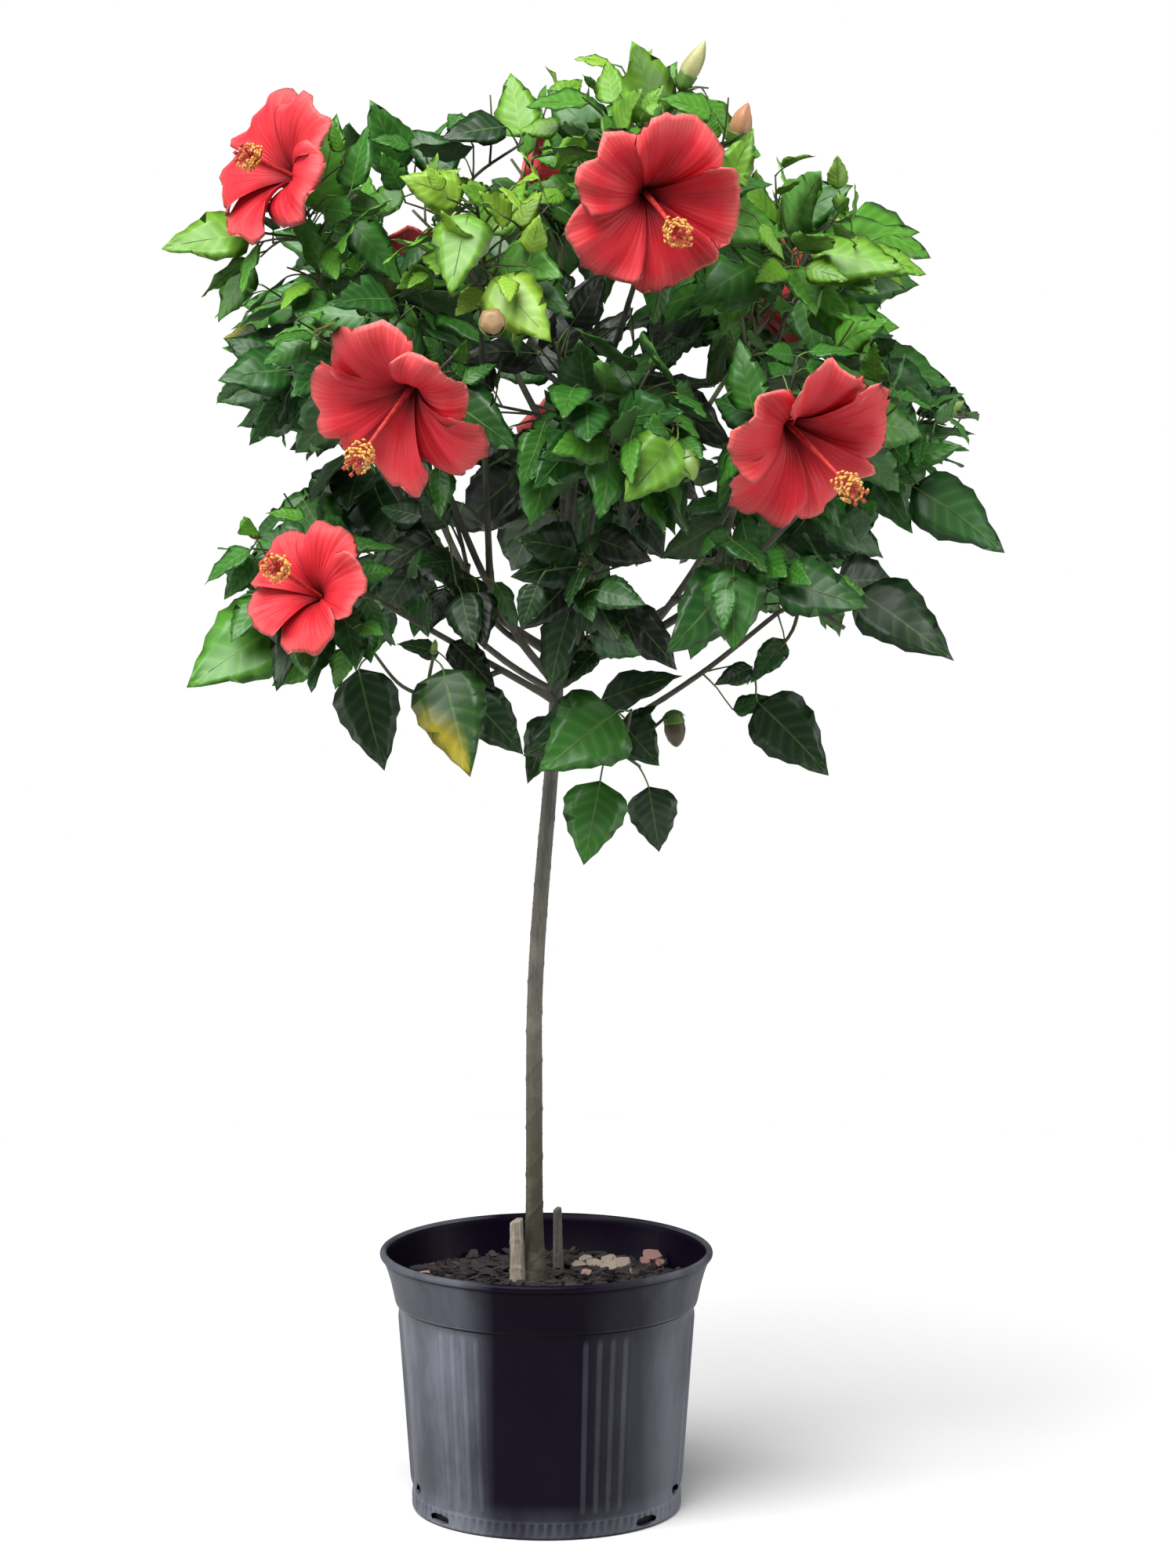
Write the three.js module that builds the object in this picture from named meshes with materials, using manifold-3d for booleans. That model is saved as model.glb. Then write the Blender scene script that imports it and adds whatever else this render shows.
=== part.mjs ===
// A hibiscus grown as a standard: one slender stem with a round, open crown of leaves and
// large five-petalled blooms, rooted in a filled nursery pot.
//
// Millimetres, +Z up. The origin is the centre of the pot's flat underside.
// Sections: sizes, small helpers, solids, pot and soil, wood, the growth rule, the crown.

import * as THREE from 'three';
import Module from 'manifold-3d';

const wasm = await Module();
wasm.setup();

// ---------------------------------------------------------------------------------- sizes

const GAP = 0.3; // clearance between two pieces that meet

const POT = {
  height: 222,
  footRadius: 111.5, // underside
  bandRadius: 113.5, // foot band
  bandHeight: 16,
  collarRadius: 124, // body just below the collar
  collarHeight: 46,
  rimRadius: 140,
  lipDepth: 7, // height of the rolled lip
  wall: 2.6,
  floor: 4,
  facets: 28,
};

const SOIL = { level: 195, flatRadius: 50, edgeDrop: 5 };

const TRUNK = {
  head: 745, // height of the knuckle that the boughs leave
  footX: -10,
  headX: 10,
  leanFrom: 400, // the stem is upright up to here, then leans
  footRadius: 7.2,
  headRadius: 5.4,
  flare: 5.5, // extra radius at the root flare
  flareHeight: 22,
  sides: 10,
};

// Two side stems cut back to short stubs beside the trunk's foot.
const STUBS = {
  cut_back_stem_front: { foot: [-24, -14], top: [-25, -13, 251], radii: [7.5, 5.6] },
  cut_back_stem_back: { foot: [10, 38], top: [9, 36, 250], radii: [5.0, 3.6] },
};

// Each bough leaves the trunk at a height, or another bough at a share of its length, and
// ends where its foliage begins. It dips by 'sag' below the straight line, as it grows out
// before it grows up.
const BOUGHS = {
  leader_bough: { from: 'trunk', at: 735, tip: [40, -15, 1050], sag: 0, radii: [4.6, 2.8] },
  left_bough: { from: 'trunk', at: 722, tip: [-145, -15, 895], sag: 45, radii: [4.2, 2.6] },
  right_bough: { from: 'trunk', at: 712, tip: [215, -10, 850], sag: 45, radii: [4.2, 2.6] },
  front_bough: { from: 'trunk', at: 730, tip: [40, -120, 860], sag: 40, radii: [3.8, 2.5] },
  back_bough: { from: 'trunk', at: 716, tip: [15, 125, 830], sag: 40, radii: [4.0, 2.6] },
  front_left_bough: { from: 'trunk', at: 700, tip: [-80, -135, 880], sag: 40, radii: [3.6, 2.4] },
  left_low_bough: { from: 'trunk', at: 686, tip: [-120, -80, 770], sag: 0, radii: [3.0, 2.2] },
  right_outer_bough: { from: 'trunk', at: 640, tip: [190, -50, 765], sag: 22, radii: [2.7, 1.9] },
  back_left_low_bough: { from: 'trunk', at: 692, tip: [-120, 85, 790], sag: 20, radii: [3.0, 2.2] },
  front_right_bough: { from: 'right_bough', at: 0.35, tip: [150, -110, 860], sag: 15, radii: [3.2, 2.3] },
  crest_left_bough: { from: 'leader_bough', at: 0.45, tip: [-55, 10, 1030], sag: 25, radii: [3.0, 2.3] },
  front_high_bough: { from: 'leader_bough', at: 0.6, tip: [70, -105, 1030], sag: 25, radii: [3.0, 2.3] },
  back_top_bough: { from: 'leader_bough', at: 0.5, tip: [12, 80, 1020], sag: 25, radii: [3.0, 2.3] },
  heart_bough: { from: 'leader_bough', at: 0.15, tip: [14, -45, 858], sag: 0, radii: [2.8, 2.2] },
  upper_left_bough: { from: 'left_bough', at: 0.6, tip: [-170, -35, 1005], sag: 20, radii: [3.0, 2.2] },
  back_left_bough: { from: 'left_bough', at: 0.45, tip: [-125, 95, 930], sag: 20, radii: [3.0, 2.2] },
  front_top_bough: { from: 'front_left_bough', at: 0.6, tip: [-50, -125, 985], sag: 20, radii: [2.8, 2.2] },
  low_left_bough: { from: 'front_left_bough', at: 0.3, tip: [-55, -55, 775], sag: 8, radii: [2.6, 2.1] },
  upper_right_bough: { from: 'right_bough', at: 0.6, tip: [190, -30, 985], sag: 20, radii: [3.0, 2.2] },
  back_right_bough: { from: 'back_bough', at: 0.5, tip: [135, 105, 920], sag: 20, radii: [3.0, 2.2] },
  back_right_low_bough: { from: 'back_bough', at: 0.25, tip: [125, 80, 770], sag: 20, radii: [3.0, 2.2] },
  low_front_bough: { from: 'front_bough', at: 0.3, tip: [30, -85, 785], sag: 6, radii: [2.8, 2.2] },
  right_low_bough: { from: 'front_right_bough', at: 0.35, tip: [140, -105, 790], sag: 12, radii: [2.6, 2.1] },
  skirt_left_bough: { from: 'left_low_bough', at: 0.35, tip: [-70, -70, 715], sag: 8, radii: [2.4, 2.0] },
};
const BOUGH_STEPS = 3;
const BOUGH_SIDES = 5;

// Each mass of foliage has a heart, a reach that its leaves stay within, a number of free
// shoots with so many leaves each, and the seed of its own growth.
const MASSES = {
  top_foliage: {
    limb: 'leader_bough', heart: [62, -20, 1128], reach: 92, shoots: 4, leaves: 5, seed: 118,
  },
  crest_left_foliage: {
    limb: 'crest_left_bough', heart: [-80, 10, 1090], reach: 88, shoots: 5, leaves: 5, seed: 171,
  },
  upper_left_foliage: {
    limb: 'upper_left_bough', heart: [-195, -45, 1070], reach: 100, shoots: 6, leaves: 5, seed: 138,
  },
  front_high_foliage: {
    limb: 'front_high_bough', heart: [85, -175, 1085], reach: 105, shoots: 5, leaves: 5, seed: 140,
  },
  front_top_foliage: {
    limb: 'front_top_bough', heart: [-46, -180, 1054], reach: 98, shoots: 6, leaves: 5, seed: 16,
  },
  upper_right_foliage: {
    limb: 'upper_right_bough', heart: [205, -45, 1038], reach: 105, shoots: 5, leaves: 5, seed: 169,
  },
  left_foliage: {
    limb: 'left_bough', heart: [-188, -15, 945], reach: 86, shoots: 5, leaves: 5, seed: 18,
  },
  front_left_foliage: {
    limb: 'front_left_bough', heart: [-118, -210, 945], reach: 112, shoots: 6, leaves: 5, seed: 9,
  },
  centre_foliage: {
    limb: 'front_bough', heart: [60, -185, 928], reach: 103, shoots: 7, leaves: 6, seed: 74,
  },
  heart_foliage: {
    limb: 'heart_bough', heart: [30, -48, 928], reach: 125, shoots: 9, leaves: 6, seed: 165,
  },
  front_right_foliage: {
    limb: 'front_right_bough', heart: [207, -180, 915], reach: 110, shoots: 6, leaves: 5, seed: 160,
  },
  right_foliage: {
    limb: 'right_bough', heart: [255, 0, 905], reach: 98, shoots: 4, leaves: 5, seed: 67,
  },
  left_low_foliage: {
    limb: 'left_low_bough', heart: [-175, -125, 800], reach: 94, shoots: 5, leaves: 5, seed: 14,
  },
  low_left_foliage: {
    limb: 'low_left_bough', heart: [-62, -80, 808], reach: 104, shoots: 9, leaves: 6, seed: 74,
  },
  low_front_foliage: {
    limb: 'low_front_bough', heart: [40, -130, 795], reach: 98, shoots: 7, leaves: 6, seed: 3,
  },
  right_low_foliage: {
    limb: 'right_low_bough', heart: [170, -165, 785], reach: 95, shoots: 6, leaves: 5, seed: 45,
  },
  right_outer_foliage: {
    limb: 'right_outer_bough', heart: [245, -45, 752], reach: 80, shoots: 1, leaves: 4, seed: 147,
  },
  skirt_left_foliage: {
    limb: 'skirt_left_bough', heart: [-100, -95, 700], reach: 90, shoots: 3, leaves: 4, seed: 11,
  },
  skirt_right_foliage: {
    limb: 'trunk', trunkAt: 655, heart: [62, -65, 655], reach: 76, shoots: 2, leaves: 4, seed: 21,
  },
  back_left_foliage: {
    limb: 'back_left_bough', heart: [-150, 150, 985], reach: 125, shoots: 7, leaves: 5, seed: 153,
  },
  back_right_foliage: {
    limb: 'back_right_bough', heart: [180, 150, 985], reach: 125, shoots: 7, leaves: 5, seed: 73,
  },
  back_top_foliage: {
    limb: 'back_top_bough', heart: [15, 130, 1085], reach: 115, shoots: 7, leaves: 5, seed: 113,
  },
  back_low_foliage: {
    limb: 'back_bough', heart: [15, 190, 860], reach: 120, shoots: 7, leaves: 5, seed: 134,
  },
  back_left_low_foliage: {
    limb: 'back_left_low_bough', heart: [-150, 115, 810], reach: 100, shoots: 5, leaves: 5, seed: 8,
  },
  back_right_low_foliage: {
    limb: 'back_right_low_bough', heart: [175, 120, 800], reach: 105, shoots: 5, leaves: 5, seed: 2,
  },
};

// The leaves that give the crown its outline: [base, tip, leaves on the shoot behind it].
const OUTLINE_LEAVES = {
  top_foliage: [
    [[91, -45, 1165], [71, -70, 1229], 3],
    [[100, 0, 1172], [160, 10, 1160], 2],
  ],
  crest_left_foliage: [
    [[-32, 20, 1158], [-85, 0, 1150], 2],
    [[-118, 40, 1120], [-142, 20, 1178], 2],
  ],
  upper_left_foliage: [[[-238, -45, 1073], [-309, -60, 1064], 2]],
  upper_right_foliage: [
    [[215, -90, 1062], [288, -115, 1050], 3],
    [[250, 10, 1085], [316, 20, 1050], 2],
    [[200, -20, 1085], [249, -25, 1113], 2],
  ],
  front_top_foliage: [
    [[-40, -235, 1050], [6, -265, 1003], 2],
    [[-58, -225, 1100], [-72, -262, 1040], 2],
  ],
  left_foliage: [[[-205, -60, 965], [-262, -85, 960], 2]],
  centre_foliage: [[[105, -245, 925], [64, -270, 880], 3]],
  right_foliage: [
    [[300, -35, 868], [376, -45, 818], 2],
    [[262, 35, 965], [335, 30, 945], 2],
  ],
  left_low_foliage: [[[-205, -120, 768], [-286, -150, 718], 2]],
  right_low_foliage: [
    [[150, -205, 820], [149, -225, 755], 1],
    [[185, -200, 808], [256, -215, 790], 2],
  ],
  right_outer_foliage: [
    [[255, -60, 785], [332, -80, 728], 1],
    [[174, -50, 692], [232, -60, 634], 0],
  ],
  skirt_left_foliage: [
    [[-152, -70, 722], [-132, -80, 640], 1],
    [[-82, -120, 728], [-60, -150, 645], 2],
    [[-64, -85, 705], [-18, -95, 655], 0],
  ],
  skirt_right_foliage: [
    [[58, -95, 690], [-2, -132, 648], 1],
    [[62, -55, 676], [92, -75, 644], 0],
    [[45, -60, 628], [32, -80, 563], 0],
    [[85, -25, 618], [94, -15, 562], 0],
  ],
};

// Open blooms: the throat's place, the way it faces, its radius and its turn in degrees.
const BLOOMS = {
  upper_left_foliage: { throat: [-220, -75, 1130], facing: [-0.76, -0.52, 0.38], radius: 70, turn: 10 },
  front_high_foliage: { throat: [87, -222, 1107], facing: [0.26, -0.92, -0.28], radius: 76, turn: 0 },
  front_left_foliage: { throat: [-114, -235, 950], facing: [-0.42, -0.74, -0.52], radius: 78, turn: 30 },
  left_low_foliage: { throat: [-188, -180, 800], facing: [-0.45, -0.78, 0.43], radius: 58, turn: 0 },
  front_right_foliage: { throat: [206, -222, 921], facing: [0.48, -0.76, -0.44], radius: 80, turn: 20 },
  back_left_foliage: { throat: [-120, 235, 1000], facing: [-0.45, 0.87, 0.2], radius: 68, turn: 15 },
  back_low_foliage: { throat: [40, 270, 860], facing: [0.1, 0.98, -0.1], radius: 72, turn: 40 },
  back_right_foliage: { throat: [190, 225, 1000], facing: [0.5, 0.85, 0.1], radius: 68, turn: 5 },
  back_top_foliage: { throat: [40, 200, 1110], facing: [0.1, 0.8, 0.55], radius: 68, turn: 55 },
};

// Buds, a spent bloom and a seed capsule: base, direction, length and radius.
const BUDS = {
  top_foliage: { base: [110, -40, 1190], way: [0.45, 0, 0.9], length: 44, radius: 8 },
  front_high_foliage: { base: [150, -160, 1150], way: [0.3, -0.2, 0.9], length: 36, radius: 9 },
  front_top_foliage: { base: [-39, -262, 1015], way: [0, -0.9, 0.2], length: 24, radius: 11 },
  front_left_foliage: { base: [-122, -215, 1018], way: [-0.2, -0.4, 0.9], length: 22, radius: 7 },
  centre_foliage: { base: [112, -245, 915], way: [0.2, -0.5, -0.8], length: 26, radius: 8 },
  right_foliage: { base: [322, 0, 918], way: [0.8, 0, 0.6], length: 28, radius: 6 },
  skirt_right_foliage: { base: [105, -35, 682], way: [0.1, 0, -1], length: 30, radius: 9 },
};

// The crown stays open along these lines, from an eye in front of the plant through a point
// [x, z] above the pot's centre: each is a clear way of the radius that follows.
const EYE = new THREE.Vector3(35, -4760, 1320);
const CLEAR_WAYS = [
  [-42, 1136, 22], [-110, 1084, 15], [-223, 1049, 13], [-19, 932, 17], [125, 970, 8],
  [188, 999, 10], [-56, 804, 14], [-30, 716, 22], [80, 697, 23], [96, 783, 18],
  [171, 710, 32], [211, 748, 19], [-127, 716, 13], [132, 647, 26], [-227, 874, 26],
];

// How leaves and shoots are shaped and set.
const CROWN_MIDDLE = new THREE.Vector3(15, 0, 925);
const GOLDEN_TURN = THREE.MathUtils.degToRad(137.5); // turn from one leaf to the next
const LEAF = {
  length: [70, 102], // of the youngest leaf on a shoot and of a full-grown one
  arch: 0.16, // how far the tip bends back, as a share of the length
  keel: 0.024, // depth of the midrib, as a share of the length
  stalkRadius: 1.4,
  root: 0.8, // how far the stalk starts behind the twig's middle
  neck: 4, // and how far out it has its full thickness
  width: [[0, 0.02], [0.3, 0.3], [0.66, 0.215], [1, 0]], // half width along the blade
  room: 9, // clear room between neighbouring leaves
  tries: 7,
};
const SHOOT = { steps: 2, neck: 6, radius: 2.1, tipRadius: 1.9, sides: 3, leastLeaves: 2 };
const LEAF_CLEAR_OF_LIMB = 12;
const SHOOT_CLEAR_OF_LIMB = 3;
const CELL_MARGIN = 0.6;
const SLIVER = 0.02; // edges shorter than this are closed up after a join

// -------------------------------------------------------------------------- small helpers

const UP = new THREE.Vector3(0, 0, 1);
const at = (list) => new THREE.Vector3(...list);
const unit = (vector) => vector.clone().normalize();
const cross = (a, b) => new THREE.Vector3().crossVectors(a, b);
const between = (a, b) => b.clone().sub(a);
const blend = (a, b, share) => a.clone().lerp(b, share);
const mix = (a, b, share) => a + (b - a) * share;

// The sum of vectors, each taken so many times: sum([a, 2], [b, -1]) is 2a - b.
function sum(...terms) {
  const total = new THREE.Vector3();
  for (const [vector, times] of terms) {
    total.addScaledVector(vector, times);
  }
  return total;
}

// Two directions square to a given one and to each other.
function squareTo(way) {
  let first = cross(way, UP);
  if (first.length() < 0.05) {
    first = new THREE.Vector3(1, 0, 0);
  }
  first.normalize();
  return [first, cross(way, first)];
}

// What is left of a direction once its part along another is taken away, at length 1.
const squared = (vector, way) => unit(sum([vector, 1], [way, -vector.dot(way)]));

// The point a share of the way along a list of points, and the direction there.
function along(points, share) {
  const place = share * (points.length - 1);
  const step = Math.min(Math.floor(place), points.length - 2);
  return {
    point: blend(points[step], points[step + 1], place - step),
    way: unit(between(points[step], points[step + 1])),
  };
}

function curve(start, bend, end, steps) {
  return new THREE.QuadraticBezierCurve3(start, bend, end).getPoints(steps);
}

// A repeatable stream of numbers between 0 and 1.
function seeded(seed) {
  let state = (seed * 48271 + 11) % 2147483647;
  const draw = () => {
    state = (state * 16807) % 2147483647;
    return state / 2147483647;
  };
  for (let k = 0; k < 4; k += 1) {
    draw();
  }
  return draw;
}

// --------------------------------------------------------------------------------- solids

function geometryOf(corners, triangles) {
  const geometry = new THREE.BufferGeometry();
  geometry.setAttribute('position', new THREE.Float32BufferAttribute(corners, 3));
  geometry.setIndex(triangles);
  return geometry;
}

// Six times the volume that the triangles enclose: positive when they face outwards.
function volumeSign(corners, triangles) {
  const corner = (k) => new THREE.Vector3(corners[3 * k], corners[3 * k + 1], corners[3 * k + 2]);
  let total = 0;
  for (let k = 0; k < triangles.length; k += 3) {
    const [a, b, c] = [corner(triangles[k]), corner(triangles[k + 1]), corner(triangles[k + 2])];
    total += a.dot(cross(b, c));
  }
  return total;
}

// A closed skin over rings of points. All rings have as many points, but an end may be one.
function skin(rings) {
  const corners = [];
  const starts = [];
  for (const ring of rings) {
    starts.push(corners.length / 3);
    for (const point of ring) {
      corners.push(point.x, point.y, point.z);
    }
  }
  const triangles = [];
  for (let r = 0; r + 1 < rings.length; r += 1) {
    const [low, high] = [rings[r].length, rings[r + 1].length];
    const count = Math.max(low, high);
    for (let k = 0; k < count; k += 1) {
      const next = (k + 1) % count;
      const [a, b] = [starts[r] + (k % low), starts[r] + (next % low)];
      const [c, d] = [starts[r + 1] + (k % high), starts[r + 1] + (next % high)];
      if (low > 1) {
        triangles.push(a, b, d);
      }
      if (high > 1) {
        triangles.push(a, d, c);
      }
    }
  }
  const last = rings.length - 1;
  for (let k = 1; k + 1 < rings[0].length; k += 1) {
    triangles.push(starts[0], starts[0] + k + 1, starts[0] + k);
  }
  for (let k = 1; k + 1 < rings[last].length; k += 1) {
    triangles.push(starts[last], starts[last] + k, starts[last] + k + 1);
  }
  if (volumeSign(corners, triangles) < 0) {
    for (let k = 0; k < triangles.length; k += 3) {
      [triangles[k], triangles[k + 1]] = [triangles[k + 1], triangles[k]];
    }
  }
  return geometryOf(corners, triangles);
}

// A tapering limb: rings of so many sides carried along the points without twist. Where
// its radius is 0 it ends in a point.
function limb(points, radii, sides) {
  let [first] = squareTo(unit(between(points[0], points[1])));
  const rings = points.map((point, k) => {
    const before = points[Math.max(k - 1, 0)];
    const after = points[Math.min(k + 1, points.length - 1)];
    const way = unit(between(before, after));
    first = squared(first, way);
    const second = cross(way, first);
    if (radii[k] === 0) {
      return [point];
    }
    const ring = [];
    for (let s = 0; s < sides; s += 1) {
      const angle = (2 * Math.PI * s) / sides;
      ring.push(sum([point, 1], [first, radii[k] * Math.cos(angle)], [second, radii[k] * Math.sin(angle)]));
    }
    return ring;
  });
  return skin(rings);
}

function toSolid(geometry) {
  const mesh = new wasm.Mesh({
    numProp: 3,
    vertProperties: new Float32Array(geometry.getAttribute('position').array),
    triVerts: new Uint32Array(geometry.getIndex().array),
  });
  return new wasm.Manifold(mesh);
}

// Joins many solids two by two, so that each join is between pieces of like size.
function join(solids) {
  let row = solids;
  while (row.length > 1) {
    const next = [];
    for (let k = 0; k < row.length; k += 2) {
      next.push(k + 1 < row.length ? row[k].add(row[k + 1]) : row[k]);
    }
    row = next;
  }
  return row[0];
}

// The largest closed body of a solid. A hollow that a join sealed is filled and a loose
// scrap is dropped, as each is a body of its own.
function mainBody(solid) {
  const mesh = solid.getMesh();
  const leader = Array.from({ length: mesh.numVert }, (_, k) => k);
  const find = (k) => {
    let root = k;
    while (leader[root] !== root) {
      leader[root] = leader[leader[root]];
      root = leader[root];
    }
    return root;
  };
  for (let k = 0; k < mesh.triVerts.length; k += 3) {
    leader[find(mesh.triVerts[k])] = find(mesh.triVerts[k + 1]);
    leader[find(mesh.triVerts[k + 2])] = find(mesh.triVerts[k + 1]);
  }
  const bodies = new Map();
  for (let k = 0; k < mesh.triVerts.length; k += 3) {
    const root = find(mesh.triVerts[k]);
    bodies.set(root, bodies.get(root) ?? []);
    bodies.get(root).push(...mesh.triVerts.slice(k, k + 3));
  }
  const volumes = [...bodies.values()].map((body) => [volumeSign(mesh.vertProperties, body), body]);
  const [, triangles] = volumes.sort((a, b) => b[0] - a[0])[0];
  const used = [...new Set(triangles)];
  const place = new Map(used.map((old, k) => [old, k]));
  const corners = used.flatMap((k) => [...mesh.vertProperties.slice(3 * k, 3 * k + 3)]);
  return geometryOf(corners, triangles.map((k) => place.get(k)));
}

// --------------------------------------------------------------------------- pot and soil

const bodyRadius = (z) => mix(POT.footRadius, POT.collarRadius, z / (POT.height - POT.collarHeight));
const pottingLevel = (radius) => {
  const share = Math.max(0, (radius - SOIL.flatRadius) / (POT.collarRadius - SOIL.flatRadius));
  return SOIL.level - SOIL.edgeDrop * share;
};

// The pot is turned from a closed profile: foot band, tapering body, flared collar, rolled
// lip, and the same line inside, one wall thinner.
function potGeometry() {
  const shoulder = POT.height - POT.collarHeight;
  const { wall, rimRadius, lipDepth } = POT;
  const outside = [
    [0, 0], [POT.footRadius, 0], [POT.bandRadius, 1.5], [POT.bandRadius, POT.bandHeight],
    [bodyRadius(POT.bandHeight), POT.bandHeight + 1.5], [bodyRadius(shoulder), shoulder],
    [POT.collarRadius + 3.5, shoulder + 4], [rimRadius - 3, POT.height - lipDepth - 2],
    [rimRadius, POT.height - lipDepth], [rimRadius, POT.height - 1.5], [rimRadius - 1.5, POT.height],
  ];
  const inside = [
    [rimRadius - wall, POT.height], [rimRadius - 3 - wall, POT.height - lipDepth],
    [POT.collarRadius + 3.5 - wall, shoulder + 4], [bodyRadius(shoulder) - wall, shoulder],
    [bodyRadius(POT.floor) - wall, POT.floor], [0, POT.floor],
  ];
  const profile = [...outside, ...inside].map(([r, z]) => new THREE.Vector2(r, z));
  return turned(profile, POT.facets);
}

// The filling reaches the pot's wall and lies flat round the trunk's foot.
function soilGeometry() {
  const shoulder = POT.height - POT.collarHeight;
  const inset = POT.wall + GAP;
  const flare = (z) => (z - shoulder - 4) / (POT.collarHeight - 11);
  const wallAt = (z) => mix(POT.collarRadius + 3.5, POT.rimRadius - 3, flare(z));
  const edge = SOIL.level - SOIL.edgeDrop;
  const profile = [
    [0, POT.floor + GAP], [bodyRadius(POT.floor) - inset, POT.floor + GAP],
    [bodyRadius(shoulder) - inset, shoulder], [POT.collarRadius + 3.5 - inset, shoulder + 4],
    [wallAt(edge) - inset, edge], [90, pottingLevel(90)], [SOIL.flatRadius, SOIL.level], [0, SOIL.level],
  ].map(([r, z]) => new THREE.Vector2(r, z));
  return turned(profile, POT.facets);
}

// A profile in [radius, height] turned round the Z axis. The lathe turns round Y, so the
// result is stood up, and its doubled seam and pole points are made one.
function turned(profile, facets) {
  const lathe = new THREE.LatheGeometry(profile, facets).rotateX(Math.PI / 2);
  const source = lathe.getAttribute('position');
  const known = new Map();
  const corners = [];
  const same = [];
  for (let k = 0; k < source.count; k += 1) {
    const key = [source.getX(k), source.getY(k), source.getZ(k)].map((x) => Math.round(x * 1000) + 0).join();
    if (!known.has(key)) {
      known.set(key, corners.length / 3);
      corners.push(source.getX(k), source.getY(k), source.getZ(k));
    }
    same.push(known.get(key));
  }
  const order = lathe.getIndex().array;
  const triangles = [];
  for (let k = 0; k < order.length; k += 3) {
    const [a, b, c] = [same[order[k]], same[order[k + 1]], same[order[k + 2]]];
    if (a !== b && b !== c && c !== a) {
      triangles.push(a, b, c);
    }
  }
  if (volumeSign(corners, triangles) < 0) {
    triangles.reverse();
  }
  return geometryOf(corners, triangles);
}

// ----------------------------------------------------------------------------------- wood

const smooth = (share) => share * share * (3 - 2 * share);
const clamped = (x) => Math.min(1, Math.max(0, x));

function trunkPoint(z) {
  const lean = smooth(clamped((z - TRUNK.leanFrom) / (TRUNK.head - TRUNK.leanFrom)));
  return new THREE.Vector3(mix(TRUNK.footX, TRUNK.headX, lean), 0, z);
}

function trunkRadius(z) {
  const taper = mix(TRUNK.footRadius, TRUNK.headRadius, (z - SOIL.level) / (TRUNK.head - SOIL.level));
  return taper + TRUNK.flare * Math.exp(-(z - SOIL.level) / TRUNK.flareHeight);
}

// The trunk's flat foot stands on the soil, and its head is a low rounded knuckle.
function trunkGeometry(extra = 0) {
  const flareSteps = [0, 8, 20, 45, 100].map((rise) => SOIL.level + GAP + rise);
  const stemSteps = [400, 480, 560, 630, 690, TRUNK.head];
  const heights = [...flareSteps, ...stemSteps];
  const points = heights.map(trunkPoint);
  const radii = heights.map((z) => trunkRadius(z) + extra);
  points.push(trunkPoint(TRUNK.head).add(new THREE.Vector3(0, 0, 4 + extra)));
  radii.push(TRUNK.headRadius * 0.6 + extra);
  return limb(points, radii, TRUNK.sides);
}

function stubGeometry({ foot, top, radii }) {
  const base = new THREE.Vector3(foot[0], foot[1], SOIL.level + GAP);
  return limb([base, blend(base, at(top), 0.5), at(top)], [radii[0], mix(...radii, 0.6), radii[1]], 8);
}

// Every bough's line and radii. A bough that starts on another starts on that one's line.
function boughLines() {
  const lines = {};
  for (const [name, bough] of Object.entries(BOUGHS)) {
    const parent = lines[bough.from];
    const start = parent ? along(parent.points, bough.at).point : trunkPoint(bough.at);
    const tip = at(bough.tip);
    const bend = blend(start, tip, 0.5).addScaledVector(UP, -bough.sag);
    const points = curve(start, bend, tip, BOUGH_STEPS);
    const radii = points.map((_, k) => mix(...bough.radii, k / BOUGH_STEPS));
    lines[name] = { points, radii };
  }
  return lines;
}

// Each bough is cut back to GAP from the trunk and from the boughs before it.
function boughGeometries(lines) {
  const made = {};
  const grown = [toSolid(trunkGeometry(GAP * 1.1))];
  for (const [name, { points, radii }] of Object.entries(lines)) {
    const solid = toSolid(limb(points, radii, BOUGH_SIDES));
    made[name] = mainBody(grown.reduce((left, other) => left.subtract(other), solid));
    grown.push(toSolid(limb(points, radii.map((r) => r + GAP * 1.3), BOUGH_SIDES)));
  }
  return made;
}

// ------------------------------------------------------------------------ the growth rule

const LINES = boughLines();
const CELLS = Object.entries(MASSES).map(([name, mass]) => {
  return { name, heart: at(mass.heart), reach: mass.reach };
});
const TRUNK_LINE = [];
for (let step = 0; step <= 11; step += 1) {
  TRUNK_LINE.push(trunkPoint(mix(SOIL.level, TRUNK.head, step / 11)));
}
const LIMBS = [
  { name: 'trunk', points: TRUNK_LINE, radii: TRUNK_LINE.map((point) => trunkRadius(point.z)) },
  ...Object.entries(LINES).map(([name, line]) => ({ name, ...line })),
];
const WAYS = CLEAR_WAYS.map(([x, z, radius]) => {
  return { way: unit(between(EYE, new THREE.Vector3(x, 0, z))), radius };
});

// The space between masses is shared out by flat planes: how far inside its own share a
// point lies, against one other mass.
function insideBy(point, own, other) {
  const power = (cell) => point.distanceToSquared(cell.heart) - cell.reach ** 2;
  return (power(other) - power(own)) / (2 * own.heart.distanceTo(other.heart));
}

function keepsToSpace(points, name) {
  const own = CELLS.find((cell) => cell.name === name);
  const others = CELLS.filter((cell) => cell !== own);
  return others.every((other) => points.every((point) => insideBy(point, own, other) >= CELL_MARGIN));
}

function distanceToSegment(point, a, b) {
  const length = between(a, b);
  const share = clamped(between(a, point).dot(length) / length.lengthSq());
  return point.distanceTo(sum([a, 1], [length, share]));
}

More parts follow.
